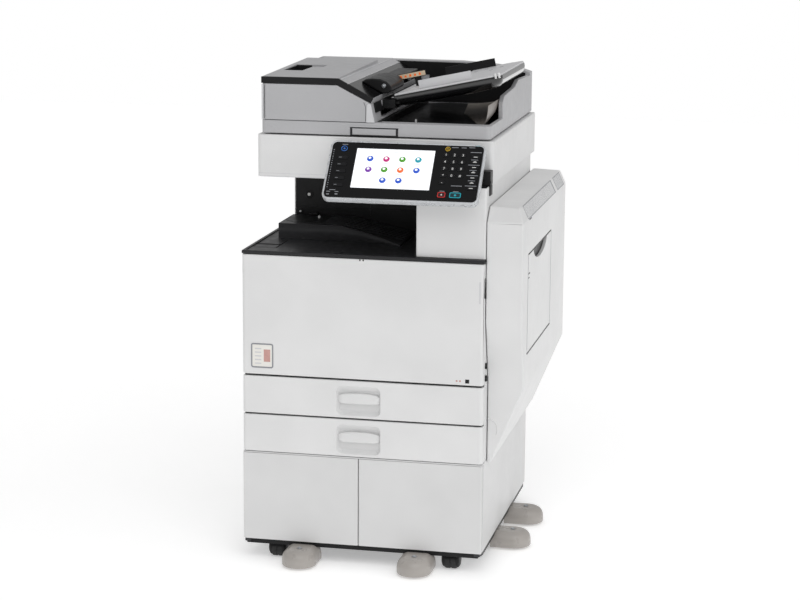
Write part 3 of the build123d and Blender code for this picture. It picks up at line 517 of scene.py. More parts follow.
def screws(name, body, places, size=1.0, slot="steel"):
    """Places one screw head, 7 mm across, on each (point, facing) pair."""
    bm = bmesh.new()
    turned(bm, (0, 0, -0.2), (0, 0, 1), [(0, 3.5), (1.2, 3.5), (1.9, 2.9), (2.2, 1.9), (1.5, 1.5),
                                         (1.2, 0)], 20)
    head = bpy.data.objects.new("head", to_mesh(bm, Matrix.Scale(MM, 4)))
    points = bpy.data.meshes.new("points")
    points.from_pydata([DATUM @ Vector(p) for p, _ in places], [], [])
    facing = points.attributes.new("facing", "FLOAT_VECTOR", "POINT")
    for item, (_, way) in zip(facing.data, places):
        item.vector = way
    made = grown(stud_tree(), points, {"Part": head, "Size": size,
                                       "Material": bpy.data.materials[slot]})
    bpy.data.objects.remove(head)
    return add_piece(name, made, slot, body)


# ---- Sizes and colours that a user would change ---------------------------------------------------
class CopierSizes(PropertyGroup):
    """Sizes of the visible finish."""
    edge_radius: FloatProperty(
        name="Edge radius", description="Rounding of moulded and folded edges",
        default=0.0012, min=0.0002, max=0.003, unit="LENGTH")
    slat_pitch: FloatProperty(
        name="Slat pitch", description="Distance between the slats of a vent",
        default=0.0085, min=0.004, max=0.02, unit="LENGTH")
    ramp_ribs: IntProperty(
        name="Ramp ribs", description="Ribs on the slope of the exit tray", default=7, min=1,
        max=12)


def colour_property(name, description, code):
    """A colour that the user may change, from its sRGB hex value."""
    return FloatVectorProperty(name=name, description=description, default=linear(code),
                               min=0, max=1, size=3, subtype="COLOR")


class CopierColours(PropertyGroup):
    """Colours of the main mouldings."""
    body: colour_property("Body", "White mouldings of the body", "#e2e2e2")
    cabinet: colour_property("Cabinet", "Painted cabinet under the trays", "#d9d9d9")
    feeder: colour_property("Feeder", "Grey mouldings of the document feeder", "#b5b5b7")
    trim: colour_property("Trim", "Lighter grey parts of the feeder", "#d2d2d4")
    tray: colour_property("Exit tray", "Dark grey of the exit tray", "#29292b")
    black: colour_property("Black parts", "Black mouldings", "#1d1d1e")
    feet: colour_property("Feet", "Warm grey of the stabilizer feet", "#a6a19c")


# ---- Pieces -----------------------------------------------------------------------------------------
# Millimetres from the datum. The body runs from -BODY_SIDE to BODY_SIDE across.
BODY_SIDE = 293.5
REAR_FACE = 661.5
EXIT_WALL_FACE = 344.9
CASTER_X = 215
FOOT_PLACES = ((-145, 3.5, 0), (138, 3.5, 0), (296.5, 245, 90), (296.5, 450, 90))
FOOT_TOP = 44


class COPIER_OT_cabinet(Operator):
    """Paper cabinet with its two doors and underframe"""
    bl_idname = "copier.cabinet"
    bl_label = "Cabinet"

    def execute(self, context):
        for node in ("cabinet_shell", "cabinet_door_left", "cabinet_door_right"):
            casing(node, "cabinet_white")
        dress("painted_steel", "underframe")
        # Black slabs in the gaps between the fronts, and two black bars along the bottom edges of the
        # doors: painted shade in the seams and under the doors.
        build("seam_shade", "black_plastic", "machine", *(
            (slab, (-288, 288), (6, 16), z, 0.3)
            for z in ((458.8, 461.7), (363.8, 366.2), (267.8, 271.2))
        ), (slab, (-8.4, -6.6), (8, 16), (54, 262), 0.3),
            (slab, (-286, 286), (4, 12), (39, 50), 1.0),
            (slab, (282, 291), (20, 640), (40, 50), 1.0))
        return {"FINISHED"}


class COPIER_OT_feet(Operator):
    """Stabilizer feet with their screws, and the casters"""
    bl_idname = "copier.feet"
    bl_label = "Feet and casters"

    def execute(self, context):
        domes, heads = bmesh.new(), []
        for x, y, turn in FOOT_PLACES:
            place = Matrix.Translation((x, y, 0)) @ Matrix.Rotation(radians(turn), 4, "Z")
            rings = lofted(domes, self.dome_rows(place))
            domes.faces.new([r[0] for r in rings] + [r[-1] for r in reversed(rings)])
            domes.faces.new(rings[0])
            domes.faces.new(rings[-1])
            heads.append((place @ Vector((0, -34, FOOT_TOP)), (0, 0, 1)))
        add_piece("foot_domes", to_mesh(domes), "foot_grey", "machine", ("stabilizer_feet",))
        screws("foot_screws", "machine", heads, 1.6, "zinc")
        beads("foot_screw_wells", "dark_grey", "machine",
              [circle(point - Vector((0, 0, 0.6)), 8, 24) for point, _ in heads], 0.7)
        dress("rubber_black", "foot_pads")
        for side, x in (("left", -CASTER_X), ("right", CASTER_X)):
            fork = f"caster_fork_{side}"
            casing(fork, "black_plastic", 0.6)
            build(f"caster_hood_{side}", "black_plastic", BODY_OF[fork], (
                turned, (x - 22, 40, 24.4), (1, 0, 0),
                [(0, 0), (0, 15), (2, 19), (5, 21.4), (39, 21.4), (42, 19), (44, 15), (44, 0)]))
            for end in ("front", "rear"):
                self.tread(f"caster_wheel_{end}_{side}")
        return {"FINISHED"}

    @staticmethod
    def dome_rows(place):
        """Outlines of one foot from the floor up: straight sides and a round front."""
        back, front, half = 16, -36.5, 42
        straight = [back + (front - back) * i / 8 for i in range(9)]
        rows = []
        for inset, height in ((1.5, 6), (0, 8), (0, 20), (0.8, 27), (3, 33), (7, 38), (12, 41.4),
                              (17, 43.4), (19, FOOT_TOP), (21, FOOT_TOP)):
            reach = half - inset
            outline = [(-reach, y) for y in straight]
            outline += [(reach * cos(a), front + reach * sin(a))
                        for a in (pi + pi * i / 24 for i in range(1, 24))]
            outline += [(reach, y) for y in reversed(straight)]
            rows.append([place @ Vector((x, y, height)) for x, y in outline])
        return rows

    @staticmethod
    def tread(node):
        """A tyre with round shoulders and a dished hub, as wide as the CAD wheel."""
        low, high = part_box(node)
        start = DATUM.inverted() @ Vector((low.x, (low.y + high.y) / 2, (low.z + high.z) / 2))
        width = (high.x - low.x) / MM
        side = [(0.6, 3.1), (0.6, 8), (2.2, 10), (2.2, 15), (0, 17), (0, 18.6),
                (0.9, 20.6), (2.6, 21.7), (4.6, 22), (12.6, 22), (13.6, 20.8)]
        build(node + "_tread", "tyre_black", BODY_OF[node], (
            turned, start, (1, 0, 0),
            side + [(width - d, r) for d, r in reversed(side)] + side[:1], 40), replaced=(node,))


class COPIER_OT_trays(Operator):
    """The two paper trays: fronts with their grips, paper boxes and lifting plates"""
    bl_idname = "copier.trays"
    bl_label = "Paper trays"

    def execute(self, context):
        for number in (1, 2):
            node, body = f"tray_{number}_front", f"tray_{number}"
            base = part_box(node)[0].z / MM
            bm = bmesh.new()
            prism(bm, self.face_plan(base), (0, 0, 91), 2.4, 4)
            add_piece(f"{body}_face", carved(to_mesh(bm), self.scoop(base)), "white_plastic",
                      body, (node,))
            build(f"{body}_grip", "white_plastic", body, (self.grip, base))
            casing(f"{body}_box", "black_plastic", 0.8)
            dress("steel", f"{body}_lift_plate")
        return {"FINISHED"}

    @staticmethod
    def face_plan(z):
        """A tray front seen from above: square at the back, rounded at its front corners."""
        corner, back = 9, 22
        curve = [(corner * (1 - sin(a)), corner * (1 - cos(a)))
                 for a in (pi / 2 * i / 6 for i in range(7))]
        mirrored = [(corner * (1 - cos(a)), corner * (1 - sin(a)))
                    for a in (pi / 2 * i / 6 for i in range(7))]
        return [(-BODY_SIDE + x, y, z) for x, y in curve] + [
            (-BODY_SIDE, back, z), (BODY_SIDE, back, z)] + [
            (BODY_SIDE - x, y, z) for x, y in mirrored]

    @staticmethod
    def scoop(base):
        """The recess round a grip: wide at the face, narrower and sloped towards its back."""
        bm = bmesh.new()
        rows = []
        for depth, inset in ((-2, -1.6), (0, -1.2), (0.8, -0.2), (2.5, 0.8), (8, 2.2), (14, 5),
                             (16, 8)):
            slope = 0.55 * max(depth, 0)
            rows.append([(x, depth, z) for x, z in rounded_outline(
                (-62 + inset, 46 - inset), (base + 7 + inset, base + 78 - inset - slope),
                max(2, 14 - inset), 8)])
        rings = lofted(bm, rows, closed=True)
        bm.faces.new(rings[0])
        bm.faces.new(rings[-1])
        return to_mesh(bm)

    @staticmethod
    def grip(bm, base):
        """The pillow-shaped bar across the recess, with an arched top edge."""
        left, width, back = -59, 102, 15
        rows = []
        for share in (0, 0.04, 0.12, 0.25, 0.5, 0.75, 0.88, 0.96, 1):
            reach = sqrt(max(0, 1 - (2 * share - 1) ** 4))
            row = []
            for t in (i / 24 for i in range(25)):
                edge = 1 - abs(2 * t - 1) ** 5
                low = base + 33 + 3 * (1 - edge)
                high = base + 52 + 7 * edge * (1 - 0.35 * (2 * t - 1) ** 2)
                row.append((left + width * t,
                            9 - (7.6 - 4.5 * share) * reach * min(1, edge * 1.6),
                            low + (high - low) * share))
            rows.append(row)
        rings = lofted(bm, rows)
        backs = lofted(bm, [[(x, back, z) for x, _, z in row] for row in rows])
        for one, two in ((rings[0], backs[0]), (rings[-1], backs[-1])):
            for i in range(len(one) - 1):
                bm.faces.new((one[i], one[i + 1], two[i + 1], two[i]))
        for i in range(len(rings) - 1):
            for end in (0, -1):
                bm.faces.new((rings[i][end], rings[i + 1][end], backs[i + 1][end],
                              backs[i][end]))


class COPIER_OT_covers(Operator):
    """Left, right and rear covers, power inlet and frame"""
    bl_idname = "copier.covers"
    bl_label = "Covers"

    def execute(self, context):
        for node in ("left_cover", "right_cover", "rear_cover"):
            casing(node, "white_plastic", 1.0)
        casing("power_inlet", "black_plastic", 0.6)
        dress("painted_steel", "main_frame")
        screws("rear_screws", "machine", [
            ((x, REAR_FACE, z), (0, 1, 0)) for x in (-270, 270) for z in (290, 450, 610, 738)
        ] + [((x, REAR_FACE, 915), (0, 1, 0)) for x in (-225, 20, 270)])
        screws("left_screws", "machine", [
            ((-293.2, y, z), (-1, 0, 0)) for y in (60, 620) for z in (290, 735)])
        beads("left_cover_lines", "white_plastic", "machine", [
            [(-293.4, 40, 300), (-293.4, 640, 300)],
            [(-293.4, 330, 300), (-293.4, 330, 740)]], 0.7)
        return {"FINISHED"}


class COPIER_OT_front_door(Operator):
    """Front door of the print engine"""
    bl_idname = "copier.front_door"
    bl_label = "Front door"

    def execute(self, context):
        casing("front_door", "white_plastic", 3.2)
        ring = [(x, 0.1, z) for x, z in rounded_outline((-270, -218), (480, 537), 4)]
        beads("door_window", "light_grey", "front_cover", [ring + ring[:1]], 1.6,
              material="printed_grey")

        def on_door(name, slot, *boxes, material=None):
            build(name, slot, "front_cover", *((slab, *box) for box in boxes), material=material)

        on_door("door_label", "foam_white", ((-268, -220), (-0.2, 1), (482, 535), 0.2))
        on_door("door_label_bars", "light_grey", *(
            ((-262, -246), (-0.35, 0.5), (z, z + 3), 0.1) for z in range(524, 480, -9)))
        on_door("door_marks", "black_plastic", *(
            ((x, x + 3), (-0.4, 4), (749, 753), 0.6) for x in (-6, 2)))
        on_door("door_square", "black_plastic", ((250.5, 260), (-0.4, 1), (468.4, 477.6), 0.2))
        on_door("door_prints", "foam_white", *(
            ((x, x + 4), (-0.3, 1), (471, 475), 0.2) for x in (228, 236)
        ), ((-240, -224), (-0.35, 0.5), (494, 524), 0.1), material="print_rose")
        on_door("door_edge_mark", "light_grey", ((281, 285), (-0.25, 1), (660, 712), 0.2))
        return {"FINISHED"}


class COPIER_OT_exit_space(Operator):
    """Exit tray with its ramp, the black wall behind it and the front pillar"""
    bl_idname = "copier.exit_space"
    bl_label = "Exit space"

    def execute(self, context):
        casing("exit_tray", "dark_grey", 1.4)
        casing("exit_wall", "black_plastic", 0.8)
        casing("front_pillar", "white_plastic", 1.2)
        rounded_end = [(-214 + 42 * cos(a), 276 + 50 * sin(a), 797.1)
                       for a in (2 * pi * i / 40 for i in range(40))]
        build("ramp_bed", "black_plastic", "machine", (
            prism, [(-172, 216, 797.1), (-100, 216, 797.1), (58, 216, 764), (58, 216, 764.7),
                    (-100, 216, 797.8), (-172, 216, 797.8)], (0, 126, 0), 0
        ), (prism, rounded_end, (0, 0, 0.5), 0),
            (slab, (-214, -190), (330, 344), (797, 804), 2))
        count = context.scene.copier_sizes.ramp_ribs
        beads("ramp_ribs", "dark_grey", "machine", [
            [(x, 222 + 112 * i / (count - 1), 797.4 - max(0, (x + 100) * 34 / 162))
             for x in (-150, -120, -100, -60, -20, 20, 54)] for i in range(count)], 1.5, sides=10)
        tray = 760.4
        beads("tray_seam", "black_plastic", "machine", [
            [(-254, 200, tray), (-236, 150, tray)], [(-226, 168, tray), (-226, 60, tray)],
            [(-226, 60, tray), (-286, 60, tray)], [(-286, 110, tray), (-226, 110, tray)]], 1.0)
        build("tray_sill", "dark_grey", "machine", (slab, (-284, -60), (11, 56), (760, 761.6), 0.5))
        big, small, forward = (-216, 345.5, 849), (-239, 345.5, 805), (0, -1, 0)
        build("wall_bosses", "black_plastic", "machine", (
            turned, big, forward,
            [(0, 10.5), (1.2, 10.5), (1.8, 9.6), (1.8, 8.4), (-2, 8.2), (-2, 0)]
        ), (turned, small, forward,
            [(0, 8), (1.2, 8), (1.8, 7.2), (1.8, 6), (-1, 6), (-1, 0)]))
        build("wall_pins", "steel", "machine", (
            turned, (-216, 346, 849), forward, [(0, 4), (3.4, 4), (4.2, 3), (4.2, 0)]
        ), (turned, (-239, 346, 805), forward, [(0, 2.6), (3, 2.6), (3.6, 1.8), (3.6, 0)]),
            (turned, (-178, 296, 797), (0, 0, 1), [(0, 2.8), (6, 2.8), (6.8, 2), (6.8, 0)], 20),
            material="printed_white")
        beads("wall_seam", "dark_grey", "machine", [
            [(-58, EXIT_WALL_FACE, 800), (-58, EXIT_WALL_FACE, 929)],
            [(-250, EXIT_WALL_FACE, 818), (118, EXIT_WALL_FACE, 818)]], 0.7)
        casing("exit_roller", "rubber_black", 0.5)
        return {"FINISHED"}


class COPIER_OT_engine(Operator):
    """Rollers, drum, toner and fuser behind the front door"""
    bl_idname = "copier.engine"
    bl_label = "Print engine"

    def execute(self, context):
        for slot, node in (("drum_blue", "drum"), ("rubber_black", "transfer_roller"),
                           ("fuser_coat", "fuser_roller"), ("tyre_black", "pressure_roller"),
                           ("toner_black", "toner_bottle")):
            dress(slot, node)
        return {"FINISHED"}


class COPIER_OT_paper_path(Operator):
    """Right-hand paper path door and bypass tray"""
    bl_idname = "copier.paper_path"
    bl_label = "Paper path door"

    def execute(self, context):
        body, pitch = "paper_path_door", context.scene.copier_sizes.slat_pitch / MM
        casing("duplex_door", "white_plastic", 3.4)
        casing("bypass_tray", "white_plastic", 0.8)
        for name, count, first, width, height in (
                ("vent_slats", int(430 / pitch), 88, 3.2, 2.4),
                ("rear_vent_slats", 12, 560, 2.6, 2.2)):
            slats(name, "white_plastic", body, count, (380.6, first, 852.5), (0, pitch, 0),
                  (-13.2, 0, 27.6), width, height)
        # Darker grey beds behind the slats: painted shade between the slats.
        build("vent_beds", "light_grey", body, *(
            (prism, [(381.2, y0, 850.6), (381.6, y0, 851), (367, y0, 881.6), (366.4, y0, 881.2)],
             (0, y1 - y0, 0), 0) for y0, y1 in ((86, 520), (558, 664))), material="printed_grey")
        # Black strips round and beside the bypass tray: painted shade in its gaps.
        build("bypass_shade", "black_plastic", body, *(
            (slab, (380, 381.5), (100, end), (z, z + 3), 0.5)
            for end, z in ((132, 846), (120, 716), (112, 706))
        ), *((slab, (293.4, 298), (22, 30), (z - 7, z + 7), 1.0) for z in (507, 477)),
            (slab, (369.2, 371.8), (94, 456), (526, 764.6), 0.4),
            (slab, (369.2, 381.2), (110, 456.6), (763, 765.2), 0.5),
            (slab, (369.2, 381.4), (96, 456.6), (523.6, 527), 0.5))
        beads("bypass_seams", "light_grey", body, [
            [(381.1, y, 528), (381.1, y, 762)] for y in (94, 456)], 0.7)
        beads("hinge_boss", "white_plastic", body, [
            [(296 + 24 * sin(a), 54.8, 346 + 26 * cos(a))
             for a in (2.1 * i / 12 for i in range(13))]], 1.8)
        return {"FINISHED"}


class COPIER_OT_scanner(Operator):
    """Scanner housing, glass and carriages"""
    bl_idname = "copier.scanner"
    bl_label = "Scanner"

    def execute(self, context):
        casing("scanner_housing", "white_plastic", 1.6)
        dress("clear_glass", "contact_glass")
        for node, slot, radius in (("scan_carriage", "black_plastic", 0.8),
                                   ("mirror_carriage", "black_plastic", 0.8),
                                   ("adf_hinges", "painted_steel", 0.6)):
            casing(node, slot, radius)
        dress("black_plastic", "panel_bracket")
        build("bracket_block", "black_plastic", "machine",
              (slab, (252, 297), (44, 71), (908, 934), 2.0),
              (slab, (268, 298), (43, 46), (938, 944), 1.0))
        beads("scanner_lip", "light_grey", "machine",
              [[(-250, -0.1, z), (60, -0.1, z)] for z in (950, 943)], 0.6)
        beads("scanner_side_seam", "black_plastic", "machine",
              [[(BODY_SIDE, 130, 929.6), (BODY_SIDE, 700, 929.6)]], 1.0)
        return {"FINISHED"}


class COPIER_OT_feeder(Operator):
    """Document feeder: base, housing, cover and lever"""
    bl_idname = "copier.feeder"
    bl_label = "Document feeder"

    def execute(self, context):
        casing("adf_base", "feeder_grey", 1.6)
        # Dark grey bars on the flat front face round the handle: painted shade of a shallow recess
        # that is not carved.
        build("handle_shade", "dark_grey", "feeder", *(
            (slab, (-46, 70), (71.3, 73), z, 0.5) for z in ((1053.2, 1056), (1036.2, 1038.4))
        ), *((slab, (x, x + 5.5), (71.2, 73), (1037, 1055), 0.5) for x in (-46, 64.5)))
        build("handle_lip", "feeder_grey", "feeder",
              (slab, (-48.5, 72.5), (70.4, 73), (1056, 1060), 0.8))
        casing("platen_pad", "foam_white", 0.8)
        casing("adf_feed_housing", "feeder_grey", 1.4)
        self.line_housing()
        # Light grey strips at the housing's rounded right end and along its left seam: painted
        # highlight.
        build("housing_ends", "light_grey", "feeder", (
            prism, [(-7, 72, 1067.6), (13.4, 72, 1067.6), (4.6, 72, 1108), (2.2, 72, 1111.6),
                    (-2, 72, 1112), (-5.6, 72, 1108)], (0, -1.2, 0), 0.9, 3
        ), (prism, [(-261.6, 72, 1068.4), (-257.6, 72, 1068.4), (-257.6, 72, 1152),
                    (-261.6, 72, 1152)], (0, -0.7, 0), 0.6, 3))
        beads("housing_lines", "dark_grey", "feeder", [
            [(-254.5, 71.9, 1070.5), (-254.5, 71.9, 1150)],
            [(-254, 71.9, 1067.6), (13, 71.9, 1067.6)],
            [(-8.6, 71.9, 1070), (-8.6, 71.9, 1104), (-13, 71.9, 1115)]], 0.5)
        casing("adf_feed_cover", "feeder_grey", 1.2)
        self.trim_cover()
        self.line_base()
        casing("adf_lever", "light_grey", 0.8)
        build("lever_pad", "feeder_grey", "cover_lever",
              (slab, (-204, -174.5), (217, 336), (1166.5, 1170), 1.0))
        casing("adf_feed_roller", "rubber_black", 0.6)
        return {"FINISHED"}

    @staticmethod
    def trim_cover():
        """Black edge strip of the feed cover, its sloping black end and the pick-up unit."""
        strip = [(-262.8, 1153.9), (-77.7, 1153.9), (4.4, 1113), (9, 1124.6), (-33, 1146.6),
                 (-74.5, 1169.4), (-262.8, 1169.4)]
        build("cover_strip", "black_plastic", "feed_cover",
              (prism, [(x, 71.3, z) for x, z in strip], (0, 6, 0), 1.2, 3),
              (slab, (-262.8, -258), (84, 600), (1154.2, 1162), 0.8))
        slope = Vector((0.8818, 0, -0.4718))
        lift = Vector((0.4718, 0, 0.8818))
        top = Vector((-72, 0, 1166.8))

        def on_slope(s, y, height):
            return top + slope * s + lift * height + Vector((0, y, 0))

        build("cover_end", "gloss_black", "feed_cover", (
            prism, [on_slope(24, 73, 0.1), on_slope(90.4, 73, 0.1), on_slope(90.4, 73, 1.6),
                    on_slope(24, 73, 1.6)], (0, 576, 0), 0.6))
        window = bmesh.new()
        slab(window, (-246, -168), (212, 341), (1150, 1190), 0)
        plate = bmesh.new()
        left, right, front, rear, base = -261.4, -77, 77, 500, 1166.2
        lofted(plate, [[(left + inset, front + inset, base + rise),
                        (right - inset, front + inset, base + rise),
                        (right - inset, rear - inset, base + rise + lift_rear),
                        (left + inset, rear - inset, base + rise + lift_rear)]
                       for inset, rise, lift_rear in ((0, 0, 0), (0, 2.4, 5.4), (0.5, 3.2, 6),
                                                      (1.4, 3.7, 6.4))], closed=True)
        plate.faces.ensure_lookup_table()
        for ring in (plate.verts[:4], plate.verts[-4:]):
            plate.faces.new(ring)
        add_piece("cover_plate", carved(to_mesh(plate), to_mesh(window)), "feeder_grey",
                  "feed_cover")
        # Ridges along both edges of the sloping strip, in lighter grey: painted highlight on those
        # edges.
        beads("cover_ridges", "light_grey", "feed_cover", [
            [on_slope(s, 74, h), on_slope(s, 648, h)] for s, h in ((1.5, 0.2), (22.4, 0.5))], 0.9)
        outline = [(-44, 1152), (-34, 1158), (-18, 1161), (2, 1160), (18, 1154), (29, 1144),
                   (31, 1134), (24, 1127), (10, 1125), (-8, 1134), (-30, 1146)]
        build("pickup_unit", "black_plastic", "feed_cover",
              (prism, [(x, 176, z) for x, z in outline], (0, 150, 0), 3.5, 4),
              (slab, (-36, 16), (330, 560), (1142, 1150), 3))
        build("pickup_hub", "steel", "feed_cover", (
            turned, (12, 176.5, 1144), (0, -1, 0),
            [(0, 5.4), (1.6, 5.4), (2.6, 4.6), (2.6, 2.4), (5, 2.2), (5.6, 1.4), (5.6, 0)], 24))
        floor = (1160.05, 1160.6)
        build("lever_pocket", "black_plastic", "feed_cover", (
            prism, [(-262.6, 77, 1161), (-262.6, 77, 1154.2), (-262.6, 600, 1154.2),
                    (-262.6, 600, 1161)], (3, 0, 0), 0.8
        ), (slab, (-245.6, -207), (213, 340), floor, 0.2),
            (slab, (-172, -168.6), (213, 340), floor, 0.2),
            (slab, (-246.2, -207), (338.6, 341.6), (1160, 1172.4), 0.3),
            (slab, (-172, -167.8), (338.6, 341.6), (1160, 1172.6), 0.3),
            (slab, (-246.6, -244.8), (212, 341), (1160, 1171), 0.3))

    @staticmethod
    def line_base():
        """Liners inside the base: glossy output tray, its turned-up end and the dark rear."""
        profile = [(24, 1051.5), (70, 1054), (130, 1053.4)]
        starts = ((112, 252), (200, 238), (300, 206), (430, 160), (653, 130))
        bm = bmesh.new()
        lofted(bm, [[(x, y, z + 0.5) for x, z in profile] + [(start, y, 1053.5), (277, y, 1053)]
                    for y, start in starts])
        floor = add_piece("output_tray", to_mesh(bm), "dark_grey", "feeder")
        bm = bmesh.new()
        lofted(bm, [[(start + (277 - start) * sin(a), y, 1053.4 + 58 * (1 - cos(a)))
                     for a in (pi / 2 * i / 14 for i in range(15))] for y, start in starts])
        end = add_piece("output_tray_end", to_mesh(bm), "foam_white", "feeder",
                        material="warm_grey")
        for piece in (floor, end):
            wall = piece.modifiers.new("thickness", "SOLIDIFY")
            wall.thickness = 0.0012
            piece.modifiers.move(1, 0)
        build("base_rear_liner", "black_plastic", "feeder", (
            prism, [(-70, 655, 1160), (-70, 655, 1126), (26, 655, 1126), (26, 655, 1056),
                    (277, 655, 1056), (277, 655, 1137), (200, 655, 1152), (112, 655, 1158)],
            (0, -1.4, 0), 0.4
        ), (slab, (277.2, 279.2), (470, 650), (1100, 1130), 0.8))
        build("tray_clips", "white_plastic", "feeder",
              (slab, (84, 88), (196, 204), (1053, 1064), 1.4))

    @staticmethod
    def line_housing():
        """Black inner parts at the paper exit, between the covers and the input table."""
        build("exit_mouth", "black_plastic", "feeder", (
            prism, [(9.4, 96, 1088.4), (11.8, 96, 1088.4), (7.2, 96, 1111.2), (4.6, 96, 1111.2)],
            (0, 544, 0), 0.4
        ), (slab, (14.6, 24.4), (96, 654), (1050.6, 1068.2), 0.8), *(
            (slab, (10, 41), (y, y + 12.2), (1091.2, 1111.8), 1.2) for y in (167.4, 550.4)))


class COPIER_OT_input_table(Operator):
    """Sloping input table of the feeder with its fences"""
    bl_idname = "copier.input_table"
    bl_label = "Input table"

    def execute(self, context):
        # The table climbs to the right, 215 mm in every metre.
        run = Vector((0.97766, 0, 0.21020))
        lift = Vector((-0.21020, 0, 0.97766))
        left = Vector((36, 0, 1124.2))
        length, front, rear = 262, 180, 550

        def on_table(s, y, height=0.0):
            return left + run * s + lift * height + Vector((0, y, 0))

        def plan(inset, height, corner=26):
            """Outline of the table: square at the rollers, rounded at its free end."""
            x0, x1, y0, y1 = inset, length - inset, front + inset, rear - inset
            turns = [pi / 2 * i / 8 for i in range(9)]
            points = [(x0, y0)]
            points += [(x1 - corner + corner * sin(a), y0 + corner - corner * cos(a))
                       for a in turns]
            points += [(x1 - corner + corner * cos(a), y1 - corner + corner * sin(a))
                       for a in turns]
            return [on_table(s, y, height) for s, y in points + [(x0, y1)]]

        casing("adf_input_table", "light_grey", 1.4)
        bm = bmesh.new()
        rows = [plan(inset, -height) for inset, height in
                ((0.6, 3.4), (-0.8, 4.2), (-1.2, 7), (-1, 12), (0.6, 18), (4, 24), (10, 29),
                 (20, 32.6), (40, 35), (80, 36))]
        rings = lofted(bm, rows, closed=True)
        bm.faces.new(rings[0])
        bm.faces.new(rings[-1])
        add_piece("table_shell", to_mesh(bm), "gloss_black", "input_table",
                  material="wet_black")
        build("table_rollers", "white_plastic", "input_table", *(
            (turned, on_table(y * 1.8 - 76, 181.4, -9), lift,
             [(0, 2.6), (4, 2.6), (5, 3.2), (12, 3.2), (13, 2.4), (13, 0)], 20)
            for y in (181, 186)))
        beads("table_lines", "feeder_grey", "input_table", [
            [on_table(8, 184, 0.1), on_table(232, 184, 0.1)],
            [on_table(8, 546, 0.1), on_table(232, 546, 0.1)],
            [on_table(20, 186, 0.1), on_table(20, 544, 0.1)]], 0.5)
        build("table_ears", "black_plastic", "input_table", *(
            (slab, (28.2, 49), (y, y + 9.6), (1100.2, 1116), 1) for y in (181.2, 539.2)))

        def plate(s, y, height, depth, radius):
            """An upright plate on the table, between two places along it and two heights."""
            return (prism, [on_table(s[0], y, height[0]), on_table(s[1], y, height[0]),
                            on_table(s[1], y, height[1]), on_table(s[0], y, height[1])],
                    (0, depth, 0), radius)

        build("table_studs", "feeder_grey", "input_table", *(
            plate((s, s + 9), y, (0, 1.2), 5, 0.3)
            for s, y in ((150, 440), (172, 470), (196, 400), (214, 450))))
        build("size_label_holder", "black_plastic", "input_table",
              plate((-20, 54), 326, (22, 36), 3, 0.6), plate((24, 40), 328, (0, 24), 4, 0.6))
        build("size_label", "foam_white", "input_table",
              plate((-19, 53), 325.7, (23.5, 34.5), 0.4, 0), material="print_cream")
        bm = bmesh.new()
        for i, s in enumerate((-12, 0, 12, 24, 36)):
            prism(bm, [on_table(s, 325.4, 26), on_table(s + 6, 325.4, 26),
                       on_table(s + 5, 325.4, 32 - i % 2), on_table(s + 1, 325.4, 32 - i % 2)],
                  (0, 0.3, 0), 0)
        add_piece("size_label_marks", to_mesh(bm), "key_stop", "input_table",
                  material="icon_orange")
        casing("adf_fence_front", "light_grey", 0.6)
        casing("adf_fence_rear", "black_plastic", 0.6)
        return {"FINISHED"}


